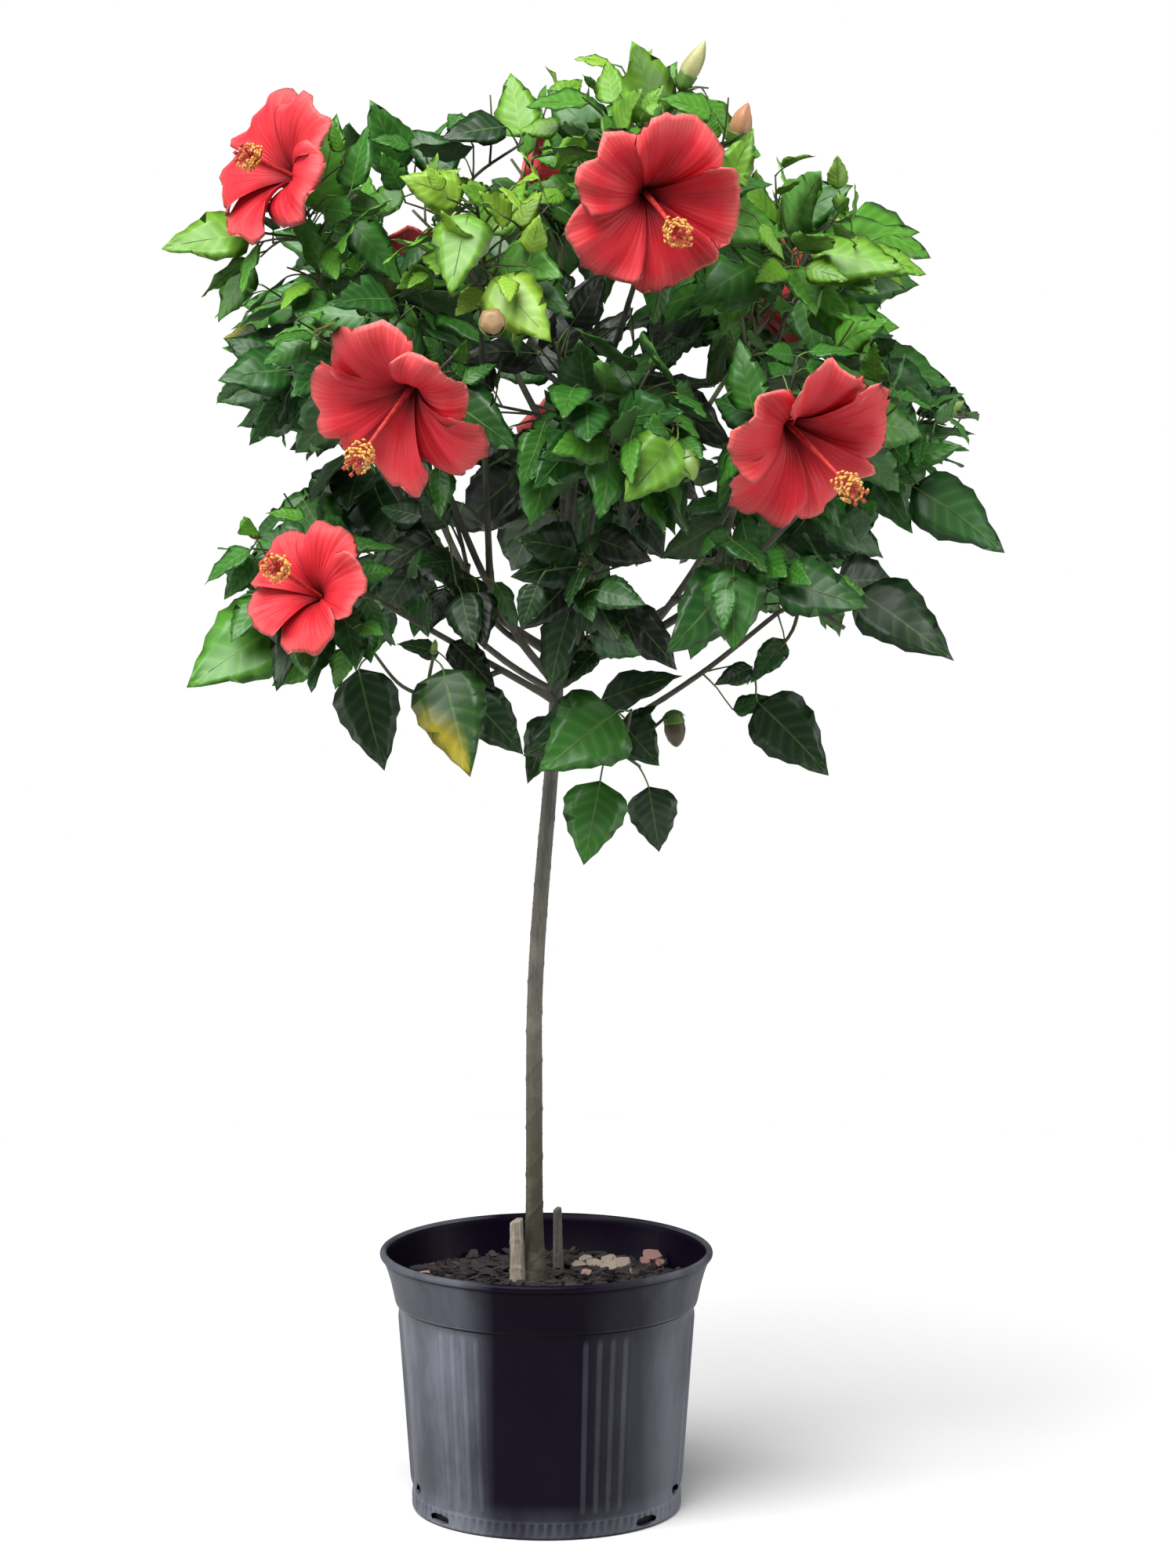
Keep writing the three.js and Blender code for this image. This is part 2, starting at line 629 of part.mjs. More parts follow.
// A mass keeps clear of every limb, but its own may come near.
function clearOfLimbs(points, ownLimb, room) {
  for (const { name, points: line, radii } of LIMBS) {
    const gap = name === ownLimb ? 2 : room;
    for (let k = 0; k + 1 < line.length; k += 1) {
      const least = Math.max(radii[k], radii[k + 1]) + gap;
      if (points.some((point) => distanceToSegment(point, line[k], line[k + 1]) < least)) {
        return false;
      }
    }
  }
  return true;
}

const aside = (offset, way) => sum([offset, 1], [way, -offset.dot(way)]).length();

function clearOfWays(points) {
  return WAYS.every(({ way, radius }) => points.every((point) => aside(between(EYE, point), way) >= radius));
}

// No leaf lies on a bloom or ahead of it, nor before a front bloom as seen from the eye.
function clearOfBlooms(points) {
  for (const { throat, facing, radius } of Object.values(BLOOMS)) {
    const middle = at(throat);
    const ahead = unit(at(facing));
    const sight = unit(between(EYE, middle));
    for (const point of points) {
      const offset = between(middle, point);
      const depth = offset.dot(ahead);
      if (depth > -0.16 * radius && depth < 2.5 * radius && aside(offset, ahead) < radius) {
        return false;
      }
      if (middle.y < 0 && offset.dot(sight) < 0 && aside(offset, sight) < 0.85 * radius) {
        return false;
      }
    }
  }
  return true;
}

// A leaf is { from, base, way, face, length }: the place on its twig, the foot of its
// blade, the way the blade runs, the way its upper side looks, and the blade's length.
function leafPoint(leaf, share, across) {
  const side = cross(leaf.way, leaf.face);
  const fall = leaf.length * LEAF.arch * share * share;
  const forward = [leaf.way, leaf.length * share];
  return sum([leaf.base, 1], forward, [leaf.face, -fall], [side, across * leaf.length]);
}

function halfWidth(share) {
  const next = LEAF.width.findIndex(([place]) => place >= share);
  const [s1, w1] = LEAF.width[Math.max(next, 1)];
  const [s0, w0] = LEAF.width[Math.max(next, 1) - 1];
  return mix(w0, w1, (share - s0) / (s1 - s0));
}

function leafSamples(leaf) {
  const samples = [0.5, 0.8].map((share) => blend(leaf.from, leaf.base, share));
  for (const share of [0.15, 0.3, 0.48, 0.66, 0.83]) {
    for (const across of [-1, -0.5, 0, 0.5, 1]) {
      samples.push(leafPoint(leaf, share, across * halfWidth(share)));
    }
  }
  samples.push(leaf.base, leafPoint(leaf, 1, 0));
  return samples;
}

const apart = (some, others) => some.every((a) => others.every((b) => a.distanceTo(b) > LEAF.room));

// A pointed root inside the twig, a three-sided stalk, then a blade with a keel that is
// widest near its foot.
function leafSolid(leaf) {
  const stalk = unit(between(leaf.from, leaf.base));
  const side = squared(cross(leaf.way, leaf.face), stalk);
  const top = cross(side, stalk);
  const neck = sum([leaf.from, 1], [stalk, LEAF.neck]);
  const r = LEAF.stalkRadius;
  const corner = ([across, high]) => sum([neck, 1], [side, across], [top, high]);
  const stalkRing = [[-r, r / 2], [0, -r], [r, r / 2]].map(corner);
  const rings = LEAF.width.slice(1, -1).map(([share, width]) => {
    const keel = sum([leafPoint(leaf, share, 0), 1], [leaf.face, -LEAF.keel * leaf.length]);
    return [leafPoint(leaf, share, -width), keel, leafPoint(leaf, share, width)];
  });
  const root = sum([leaf.from, 1], [stalk, -LEAF.root]);
  return toSolid(skin([[root], stalkRing, ...rings, [leafPoint(leaf, 1, 0)]]));
}

// A bloom in shares of its radius: a funnel from the calyx that spreads into five broad
// petals, 15 points round, with the long column of stamens standing out of the throat.
const CALYX = -0.5;
const FUNNEL = [0.34, -0.12]; // [reach, rise] of its back
const PETAL_EDGE = [[0.62, 0.02, 0], [1, 0.03, 24 - 7], [1, 0.03, 48 + 7]]; // [reach, rise, degrees]
const THROAT = -0.05;
const COLUMN = [[-0.3, 2.4], [0.85, 5.6], [1.1, 1.5]]; // [rise, radius in mm]

function bloomSolids({ throat, facing, radius, turn }) {
  const [first, second] = squareTo(facing);
  const place = (rise) => sum([throat, 1], [facing, radius * rise]);
  const point = (degrees, reach, rise) => {
    const angle = THREE.MathUtils.degToRad(turn + degrees);
    const out = sum([first, Math.cos(angle)], [second, Math.sin(angle)]);
    return sum([place(rise), 1], [out, radius * reach]);
  };
  const petals = [0, 72, 144, 216, 288];
  const edge = petals.flatMap((start) => {
    return PETAL_EDGE.map(([reach, rise, degrees]) => [start + degrees, reach, rise]);
  });
  const flower = skin([
    [place(CALYX)],
    edge.map(([degrees]) => point(degrees, ...FUNNEL)),
    edge.map(([degrees, reach, rise]) => point(degrees, reach, rise)),
    [place(THROAT)],
  ]);
  const column = limb(COLUMN.map(([rise]) => place(rise)), COLUMN.map(([, r]) => r), 3);
  return [flower, column].map(toSolid);
}

function budSolid({ base, way, length, radius }) {
  const place = (share) => sum([base, 1], [way, length * share]);
  return toSolid(limb([place(-0.05), place(0.3), place(0.62), place(1)], [2, radius, radius * 0.8, 0.8], 5));
}

// Grows one mass. Its stem runs from the limb's end to the heart, shoots leave the stem, and
// leaves stand round each shoot by the golden turn. A leaf that would leave the space or
// touch something is tried again, turned on and smaller, and then skipped.
function growMass(name) {
  const mass = MASSES[name];
  const draw = seeded(mass.seed);
  const heart = at(mass.heart);
  const growth = { shoots: [], leaves: [], blooms: [], buds: [] };

  const line = LINES[mass.limb];
  let way;
  let root;
  if (line) {
    const last = line.points.length - 1;
    way = unit(between(line.points[last - 1], line.points[last]));
    root = sum([line.points[last], 1], [way, GAP]);
    growth.stemRadius = line.radii[last];
  } else {
    const axis = trunkPoint(mass.trunkAt);
    const toHeart = between(axis, heart);
    way = unit(new THREE.Vector3(toHeart.x, toHeart.y, toHeart.z * 0.3));
    root = sum([axis, 1], [way, trunkRadius(mass.trunkAt) + GAP]);
    growth.stemRadius = 2.2;
  }
  growth.stem = curve(root, sum([root, 1], [way, root.distanceTo(heart) * 0.45]), heart, 5);

  const leafFits = (leaf) => {
    const samples = leafSamples(leaf);
    return samples.every((point) => point.distanceTo(heart) <= mass.reach + 8)
      && keepsToSpace(samples, name)
      && clearOfLimbs(samples, mass.limb, LEAF_CLEAR_OF_LIMB)
      && clearOfWays(samples)
      && clearOfBlooms(samples)
      && growth.leaves.every((other) => apart(samples, other.samples));
  };
  const shootFits = (points) => {
    const samples = [0, 1, 2, 3, 4, 5, 6, 7, 8, 9].map((k) => along(points, k / 9).point);
    return keepsToSpace(samples, name) && clearOfLimbs(samples, mass.limb, SHOOT_CLEAR_OF_LIMB);
  };
  const keepLeaf = (leaf) => growth.leaves.push({ ...leaf, samples: leafSamples(leaf) });
  const shootTo = (start, tip) => {
    const length = start.point.distanceTo(tip);
    const bend = sum([start.point, 0.7], [tip, 0.3], [start.way, 0.2 * length]);
    return curve(start.point, bend, tip, SHOOT.steps);
  };
  const nearestOnStem = (point) => {
    const shares = [0.4, 0.6, 0.8, 0.95];
    const places = shares.map((share) => along(growth.stem, share));
    const off = (place) => place.point.distanceTo(point);
    return places.reduce((best, place) => (off(place) < off(best) ? place : best));
  };

  // Leaves along a shoot, from its tip back: small on short stalks first, then larger.
  const dress = (points, count) => {
    const phase = draw() * 2 * Math.PI;
    let kept = 0;
    for (let k = 0; k < count; k += 1) {
      const age = count > 1 ? k / (count - 1) : 0.5;
      const node = along(points, count > 1 ? 0.97 - 0.72 * age : 0.6);
      const spread = THREE.MathUtils.degToRad(48 + 22 * draw());
      const length = mix(...LEAF.length, Math.min(1, age * 1.6)) * (0.9 + 0.22 * draw());
      const loose = draw();
      const look = draw() * 2 * Math.PI;
      const [first, second] = squareTo(node.way);
      for (let attempt = 0; attempt < LEAF.tries; attempt += 1) {
        const size = 1 - 0.06 * attempt;
        const angle = phase + k * GOLDEN_TURN + 2.1 * attempt;
        const stalkWay = unit(sum(
          [node.way, Math.cos(spread)],
          [first, Math.cos(angle) * Math.sin(spread)],
          [second, Math.sin(angle) * Math.sin(spread)],
          [UP, 0.15],
        ));
        const base = sum([node.point, 1], [stalkWay, (14 + 12 * age + 8 * loose) * size]);
        const outward = unit(between(CROWN_MIDDLE, base));
        const way = unit(sum([stalkWay, 0.8], [outward, 0.35], [UP, -0.25 - 0.5 * age]));
        const around = at([Math.cos(look), Math.sin(look), 0]);
        const sky = sum([outward, 0.2], [UP, 0.45], [around, 0.5], [at([0, -1, 0]), 0.45]);
        const flat = squared(sky, way);
        const roll = (loose - 0.5) * 0.8;
        const face = unit(sum([flat, Math.cos(roll)], [cross(way, flat), Math.sin(roll)]));
        const leaf = { from: node.point, base, way, face, length: length * size };
        if (leafFits(leaf)) {
          keepLeaf(leaf);
          kept += 1;
          break;
        }
      }
    }
    return kept;
  };

  // The leaves of the outline come first, each on a shoot of its own.
  for (const [baseAt, tipAt, followers] of OUTLINE_LEAVES[name] ?? []) {
    const [base, tip] = [at(baseAt), at(tipAt)];
    const start = nearestOnStem(base);
    const straight = unit(between(base, tip));
    const from = sum([base, 1], [unit(sum([straight, 0.8], [unit(between(start.point, base)), 0.6])), -20]);
    const length = base.distanceTo(tip);
    const outward = unit(between(CROWN_MIDDLE, base));
    const flat = squared(sum([outward, 0.35], [UP, 0.5], [at([0, -1, 0]), 0.9]), straight);
    const way = unit(between(base, sum([tip, 1], [flat, length * LEAF.arch])));
    const points = shootTo(start, from);
    keepLeaf({ from: along(points, 0.95).point, base, way, face: squared(flat, way), length });
    growth.shoots.push(points);
    dress(points, followers);
  }
  const bloom = BLOOMS[name];
  if (bloom) {
    const facing = unit(at(bloom.facing));
    const throat = at(bloom.throat);
    const calyx = sum([throat, 1], [facing, -0.42 * bloom.radius]);
    growth.shoots.push(shootTo(nearestOnStem(sum([calyx, 1], [facing, -30])), calyx));
    growth.blooms.push({ ...bloom, throat, facing });
  }
  const bud = BUDS[name];
  if (bud) {
    const base = at(bud.base);
    growth.shoots.push(shootTo(nearestOnStem(base), base));
    growth.buds.push({ ...bud, base, way: unit(at(bud.way)) });
  }

  // Free shoots fan out from the heart round the way that leads out of the crown.
  const lean = unit(sum([unit(between(CROWN_MIDDLE, heart)), 1], [UP, 0.35]));
  const [first, second] = squareTo(lean);
  for (let k = 0; k < mass.shoots; k += 1) {
    const share = (k + 0.5) / mass.shoots;
    const cosine = 1 - share * 1.25;
    const sine = Math.sqrt(1 - cosine * cosine);
    const angle = k * GOLDEN_TURN + draw() * 1.2;
    const out = sum([lean, cosine], [first, Math.cos(angle) * sine], [second, Math.sin(angle) * sine]);
    const start = along(growth.stem, 0.4 + 0.55 * share);
    const far = mass.reach * (0.5 + 0.3 * draw());
    const tries = [1, 0.75, 0.5].map((part) => shootTo(start, sum([heart, 1], [out, far * part])));
    const points = tries.find(shootFits);
    const kept = points ? dress(points, mass.leaves) : 0;
    if (kept >= SHOOT.leastLeaves) {
      growth.shoots.push(points);
    } else {
      growth.leaves.length -= kept;
    }
  }
  return growth;
}

// A shoot is rooted by a point in the middle of the stem and has its full thickness from
// the neck on.
function shootGeometry(points) {
  const [root, ...rest] = points;
  const neck = sum([root, 1], [unit(between(root, rest[0])), SHOOT.neck]);
  const line = [root, neck, ...rest];
  const radii = [neck, ...rest].map((_, k) => mix(SHOOT.radius, SHOOT.tipRadius, k / rest.length));
  return limb(line, [0, ...radii], SHOOT.sides);
}

function massGeometry(growth) {
  const taper = (points, thick, thin) => points.map((_, k) => mix(thick, thin, k / (points.length - 1)));
  const stem = limb(growth.stem, taper(growth.stem, growth.stemRadius + 0.6, SHOOT.radius + 0.8), 5);
  const shoots = growth.shoots.map(shootGeometry);
  return mainBody(join([
    ...[stem, ...shoots].map(toSolid),
    ...growth.leaves.map(leafSolid),
    ...growth.blooms.flatMap(bloomSolids),
    ...growth.buds.map(budSolid),
  ]).simplify(SLIVER));
}

// ------------------------------------------------------------------------------ the plant

const FINISHES = {
  pot: { color: 0x1b1a22, roughness: 0.45, metalness: 0 },
  soil: { color: 0x2a1d18, roughness: 0.95, metalness: 0 },
  bark: { color: 0x6b665c, roughness: 0.85, metalness: 0 },
  paleWood: { color: 0x91867c, roughness: 0.8, metalness: 0 },
  limeLeaf: { color: 0x6fa83a, roughness: 0.5, metalness: 0 },
  leaf: { color: 0x3f7a35, roughness: 0.45, metalness: 0 },
  deepLeaf: { color: 0x274f2b, roughness: 0.45, metalness: 0 },
};
const YOUNG_ABOVE = 1045; // foliage with its heart above this height is lime
const DEEP_BELOW = 870; // and below this height it is deep green

const plant = new THREE.Group();

function addPiece(name, geometry, finish) {
  const mesh = new THREE.Mesh(geometry, new THREE.MeshStandardMaterial(FINISHES[finish]));
  mesh.name = name;
  plant.add(mesh);
}

addPiece('nursery_pot', potGeometry(), 'pot');
addPiece('potting_soil', soilGeometry(), 'soil');
addPiece('trunk', trunkGeometry(), 'bark');
addPiece('cut_back_stem_front', stubGeometry(STUBS.cut_back_stem_front), 'paleWood');
addPiece('cut_back_stem_back', stubGeometry(STUBS.cut_back_stem_back), 'bark');

for (const [name, geometry] of Object.entries(boughGeometries(LINES))) {
  addPiece(name, geometry, 'bark');
}

for (const [name, mass] of Object.entries(MASSES)) {
  const height = mass.heart[2];
  const shade = height < DEEP_BELOW ? 'deepLeaf' : 'leaf';
  addPiece(name, massGeometry(growMass(name)), height > YOUNG_ABOVE ? 'limeLeaf' : shade);
}

export default plant;
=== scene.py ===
# %% [markdown]
# # A hibiscus standard in its nursery pot
#
# A standard is a shrub trained as a small tree: one bare stem, a round crown of leaves and
# large blooms on top, and here a black nursery pot below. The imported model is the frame.
# It holds the true sizes of pot, stem, boughs and foliage masses. This file dresses it:
# every limb gets bark, and every mass is grown again with finer twigs and real leaves.
#
# Lengths are in millimetres until a mesh is made. The origin is under the pot, +Z is up.

import math
import time

import bpy
import numpy as np
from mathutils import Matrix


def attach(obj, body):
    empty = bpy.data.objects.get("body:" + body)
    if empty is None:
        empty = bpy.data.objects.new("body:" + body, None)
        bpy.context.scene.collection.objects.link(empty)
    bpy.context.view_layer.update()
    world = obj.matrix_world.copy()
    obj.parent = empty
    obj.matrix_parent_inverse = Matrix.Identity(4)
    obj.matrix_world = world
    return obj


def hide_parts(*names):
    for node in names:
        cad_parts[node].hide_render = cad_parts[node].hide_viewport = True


STARTED = time.time()
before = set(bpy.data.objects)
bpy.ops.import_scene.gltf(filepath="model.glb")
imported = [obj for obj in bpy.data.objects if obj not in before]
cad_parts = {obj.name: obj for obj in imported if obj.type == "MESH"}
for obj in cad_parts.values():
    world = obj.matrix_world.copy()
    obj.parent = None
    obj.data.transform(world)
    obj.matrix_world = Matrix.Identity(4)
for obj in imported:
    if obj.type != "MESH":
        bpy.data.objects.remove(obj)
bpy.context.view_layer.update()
MM = 0.001

# %% [markdown]
# ## The camera
#
# The plant is seen from a little above, with a long lens from nearly five metres away, so
# that the pot's rim is a flat ellipse and the uprights stay parallel. The eye is kept as a
# named place, because the crown's rule keeps some sight lines through the leaves open.

# %% Set the camera
EYE = np.array([35.0, -4760.0, 1320.0])
LOOK_DOWN = math.radians(8.41)
LENS = 133.0

camera = bpy.data.objects.new("camera", bpy.data.cameras.new("camera"))
camera.location = EYE * MM
camera.rotation_euler = (math.pi / 2 - LOOK_DOWN, 0, 0)
camera.data.lens = LENS
camera.data.sensor_width = 36
camera.data.clip_end = 60
link = bpy.context.scene.collection.objects.link  # puts an object into the scene
link(camera)
bpy.context.scene.camera = camera
print("camera", LENS, "mm lens,", round(float(-EYE[1]) * MM, 2), "m in front")

# %% [markdown]
# ## Small helpers
#
# Vectors are rows of numpy arrays, so one line works on a single direction or on a whole
# row of them. A seeded stream gives the same plant on each run.

# %% Vectors and seeded numbers
UP = np.array([0.0, 0.0, 1.0])


def unit(vector):
    """The vector divided by its own length."""
    return np.asarray(vector, float) / np.linalg.norm(vector, axis=-1, keepdims=True)


def squared(vector, way):
    """What is left of a vector once its part along a direction is taken away, at length 1."""
    return unit(vector - way * np.sum(vector * way, -1, keepdims=True))


def square_to(way):
    """Two directions square to a given one and to each other."""
    first = np.cross(way, UP)
    if np.linalg.norm(first) < 0.05:
        first = np.array([1.0, 0.0, 0.0])
    first = unit(first)
    return first, np.cross(way, first)


def along(points, share):
    """The point a share of the way along a list of points, and the direction there."""
    place = share * (len(points) - 1)
    step = min(int(place), len(points) - 2)
    low, high = points[step], points[step + 1]
    return low + (high - low) * (place - step), unit(high - low)


def curve(start, bend, end, steps):
    """A quadratic curve: (1-t) squared of start, 2t(1-t) of bend and t squared of end."""
    t = np.linspace(0, 1, steps + 1)[:, None]
    return start * (1 - t) ** 2 + bend * 2 * t * (1 - t) + end * t**2


def seeded(seed):
    """A function that gives the next number between 0 and 1 of a repeatable stream."""
    state = [(seed * 48271 + 11) % 2147483647]

    def draw():
        state[0] = (state[0] * 16807) % 2147483647
        return state[0] / 2147483647

    for _ in range(4):
        draw()
    return draw


print("helpers ready; first seeded number", round(seeded(1)(), 4))

# %% [markdown]
# ## The wood's plan
#
# The stem stands upright out of the soil and leans a little near its head. Boughs leave
# the stem or an older bough, dip, and rise to where their foliage begins. These are the
# frame's own sizes, so each limb lies on its solid.

# %% Lines of the stem and boughs
SOIL_LEVEL = 195
TRUNK = {
    "head": 745, "foot_x": -10, "head_x": 10, "lean_from": 400,
    "foot_radius": 7.2, "head_radius": 5.4, "flare": 5.5, "flare_height": 22,
}
BOUGH_STEPS = 3
# Each bough: where it grows from, at what height or share, its tip, its dip and its radii.
# The solid of left is named left_bough, and so on.
BOUGHS = {
    "leader": ("trunk", 735, (40, -15, 1050), 0, (4.6, 2.8)),
    "left": ("trunk", 722, (-145, -15, 895), 45, (4.2, 2.6)),
    "right": ("trunk", 712, (215, -10, 850), 45, (4.2, 2.6)),
    "front": ("trunk", 730, (40, -120, 860), 40, (3.8, 2.5)),
    "back": ("trunk", 716, (15, 125, 830), 40, (4.0, 2.6)),
    "front_left": ("trunk", 700, (-80, -135, 880), 40, (3.6, 2.4)),
    "left_low": ("trunk", 686, (-120, -80, 770), 0, (3.0, 2.2)),
    "right_outer": ("trunk", 640, (190, -50, 765), 22, (2.7, 1.9)),
    "back_left_low": ("trunk", 692, (-120, 85, 790), 20, (3.0, 2.2)),
    "front_right": ("right", 0.35, (150, -110, 860), 15, (3.2, 2.3)),
    "crest_left": ("leader", 0.45, (-55, 10, 1030), 25, (3.0, 2.3)),
    "front_high": ("leader", 0.6, (70, -105, 1030), 25, (3.0, 2.3)),
    "back_top": ("leader", 0.5, (12, 80, 1020), 25, (3.0, 2.3)),
    "heart": ("leader", 0.15, (14, -45, 858), 0, (2.8, 2.2)),
    "upper_left": ("left", 0.6, (-170, -35, 1005), 20, (3.0, 2.2)),
    "back_left": ("left", 0.45, (-125, 95, 930), 20, (3.0, 2.2)),
    "front_top": ("front_left", 0.6, (-50, -125, 985), 20, (2.8, 2.2)),
    "low_left": ("front_left", 0.3, (-55, -55, 775), 8, (2.6, 2.1)),
    "upper_right": ("right", 0.6, (190, -30, 985), 20, (3.0, 2.2)),
    "back_right": ("back", 0.5, (135, 105, 920), 20, (3.0, 2.2)),
    "back_right_low": ("back", 0.25, (125, 80, 770), 20, (3.0, 2.2)),
    "low_front": ("front", 0.3, (30, -85, 785), 6, (2.8, 2.2)),
    "right_low": ("front_right", 0.35, (140, -105, 790), 12, (2.6, 2.1)),
    "skirt_left": ("left_low", 0.35, (-70, -70, 715), 8, (2.4, 2.0)),
}


def smooth(share):
    """A step that starts and ends level: 3 times the share squared less twice its cube,
    with the share kept between 0 and 1."""
    share = np.clip(share, 0, 1)
    return share * share * (3 - 2 * share)


def trunk_line(z):
    """The stem's middle at heights z: upright, then leaning over by a smooth step."""
    z = np.asarray(z, float)
    lean = smooth((z - TRUNK["lean_from"]) / (TRUNK["head"] - TRUNK["lean_from"]))
    x = TRUNK["foot_x"] + (TRUNK["head_x"] - TRUNK["foot_x"]) * lean
    return np.stack([x, 0 * z, z], -1)


def trunk_radius(z):
    """A straight taper from foot to head, and a flare that fades with height."""
    share = (z - SOIL_LEVEL) / (TRUNK["head"] - SOIL_LEVEL)
    taper = TRUNK["foot_radius"] + (TRUNK["head_radius"] - TRUNK["foot_radius"]) * share
    return taper + TRUNK["flare"] * np.exp(-(z - SOIL_LEVEL) / TRUNK["flare_height"])


def bough_lines():
    """Every bough's points and radii; one that grows from another starts on its line."""
    lines = {}
    for name, (parent, place, tip, sag, radii) in BOUGHS.items():
        start = trunk_line(place) if parent == "trunk" else along(lines[parent][0], place)[0]
        tip = np.array(tip, float)
        points = curve(start, (start + tip) / 2 - UP * sag, tip, BOUGH_STEPS)
        lines[name] = (points, np.linspace(*radii, BOUGH_STEPS + 1))
    return lines


LINES = bough_lines()
TRUNK_LINE = trunk_line(np.linspace(SOIL_LEVEL, TRUNK["head"], 12))
LIMBS = {"trunk": (TRUNK_LINE, trunk_radius(TRUNK_LINE[:, 2])), **LINES}
print("wood:", len(LINES), "boughs on a stem", TRUNK["head"] - SOIL_LEVEL, "mm tall")

# %% [markdown]
# ## The crown's plan
#
# The crown is made of masses, one on each bough's tip. A mass has a heart and a reach, and
# flat planes share the room between neighbours, so that no two masses grow through each
# other. Some leaves make the crown's outline and are placed by name; all others are grown.
# The last number of a mass is this file's own addition: how lime its leaves are. It is partly
# youth and partly painted light and shade: masses high up and in front get more lime, those
# low down less.

# %% Masses, outline leaves, blooms and buds
# Each mass: its limb, heart, reach, free shoots, leaves on each, seed, and its lime share:
# youth together with painted light and shade by height. The solid of left is named
# left_foliage, and so on.
MASSES = {
    "top": ("leader", (62, -20, 1128), 92, 4, 5, 118, 0.8),
    "crest_left": ("crest_left", (-80, 10, 1090), 88, 5, 5, 171, 0.5),
    "upper_left": ("upper_left", (-195, -45, 1070), 100, 6, 5, 138, 0.55),
    "front_high": ("front_high", (85, -175, 1085), 105, 5, 5, 140, 0.6),
    "front_top": ("front_top", (-46, -180, 1054), 98, 6, 5, 16, 0.95),
    "upper_right": ("upper_right", (205, -45, 1038), 105, 5, 5, 169, 0.85),
    "left": ("left", (-188, -15, 945), 86, 5, 5, 18, 0.3),
    "front_left": ("front_left", (-118, -210, 945), 112, 6, 5, 9, 0.45),
    "centre": ("front", (60, -185, 928), 103, 7, 6, 74, 0.5),
    "heart": ("heart", (30, -48, 928), 125, 9, 6, 165, 0.12),
    "front_right": ("front_right", (207, -180, 915), 110, 6, 5, 160, 0.35),
    "right": ("right", (255, 0, 905), 98, 4, 5, 67, 0.25),
    "left_low": ("left_low", (-175, -125, 800), 94, 5, 5, 14, 0.3),
    "low_left": ("low_left", (-62, -80, 808), 104, 9, 6, 74, 0.05),
    "low_front": ("low_front", (40, -130, 795), 98, 7, 6, 3, 0.1),
    "right_low": ("right_low", (170, -165, 785), 95, 6, 5, 45, 0.35),
    "right_outer": ("right_outer", (245, -45, 752), 80, 1, 4, 147, 0.12),
    "skirt_left": ("skirt_left", (-100, -95, 700), 90, 3, 4, 11, 0.08),
    "skirt_right": ("trunk", (62, -65, 655), 76, 2, 4, 21, 0.15),
    "back_left": ("back_left", (-150, 150, 985), 125, 7, 5, 153, 0.5),
    "back_right": ("back_right", (180, 150, 985), 125, 7, 5, 73, 0.55),
    "back_top": ("back_top", (15, 130, 1085), 115, 7, 5, 113, 0.75),
    "back_low": ("back", (15, 190, 860), 120, 7, 5, 134, 0.3),
    "back_left_low": ("back_left_low", (-150, 115, 810), 100, 5, 5, 8, 0.2),
    "back_right_low": ("back_right_low", (175, 120, 800), 105, 5, 5, 2, 0.25),
}
TRUNK_SHOOT_HEIGHT, TRUNK_SHOOT_RADIUS = 655, 2.2  # the one mass on the stem itself
# Each outline leaf: base, tip and the number of leaves on the shoot behind it.
OUTLINE_LEAVES = {
    "top": [
        ((91, -45, 1165), (71, -70, 1229), 3), ((100, 0, 1172), (160, 10, 1160), 2),
    ],
    "crest_left": [
        ((-32, 20, 1158), (-85, 0, 1150), 2), ((-118, 40, 1120), (-142, 20, 1178), 2),
    ],
    "upper_left": [((-238, -45, 1073), (-309, -60, 1064), 2)],
    "upper_right": [
        ((215, -90, 1062), (288, -115, 1050), 3), ((250, 10, 1085), (316, 20, 1050), 2),
        ((200, -20, 1085), (249, -25, 1113), 2),
    ],
    "front_top": [
        ((-40, -235, 1050), (6, -265, 1003), 2), ((-58, -225, 1100), (-72, -262, 1040), 2),
    ],
    "left": [((-205, -60, 965), (-262, -85, 960), 2)],
    "centre": [((105, -245, 925), (64, -270, 880), 3)],
    "right": [
        ((300, -35, 868), (376, -45, 818), 2), ((262, 35, 965), (335, 30, 945), 2),
    ],
    "left_low": [((-205, -120, 768), (-286, -150, 718), 2)],
    "right_low": [
        ((150, -205, 820), (149, -225, 755), 1), ((185, -200, 808), (256, -215, 790), 2),
    ],
    "right_outer": [
        ((255, -60, 785), (332, -80, 728), 1), ((174, -50, 692), (232, -60, 634), 0),
    ],
    "skirt_left": [
        ((-152, -70, 722), (-132, -80, 640), 1), ((-82, -120, 728), (-60, -150, 645), 2),
        ((-64, -85, 705), (-18, -95, 655), 0),
    ],
    "skirt_right": [
        ((58, -95, 690), (-2, -132, 648), 1), ((62, -55, 676), (92, -75, 644), 0),
        ((45, -60, 628), (32, -80, 563), 0), ((85, -25, 618), (94, -15, 562), 0),
    ],
}
# Each open bloom: throat, the way it faces, radius and turn in degrees.
BLOOMS = {
    "upper_left": ((-220, -75, 1130), (-0.76, -0.52, 0.38), 70, 10),
    "front_high": ((87, -222, 1107), (0.26, -0.92, -0.28), 76, 0),
    "front_left": ((-114, -235, 950), (-0.42, -0.74, -0.52), 78, 30),
    "left_low": ((-188, -180, 800), (-0.45, -0.78, 0.43), 58, 0),
    "front_right": ((206, -222, 921), (0.48, -0.76, -0.44), 80, 20),
    "back_left": ((-120, 235, 1000), (-0.45, 0.87, 0.2), 68, 15),
    "back_low": ((40, 270, 860), (0.1, 0.98, -0.1), 72, 40),
    "back_right": ((190, 225, 1000), (0.5, 0.85, 0.1), 68, 5),
    "back_top": ((40, 200, 1110), (0.1, 0.8, 0.55), 68, 55),
}
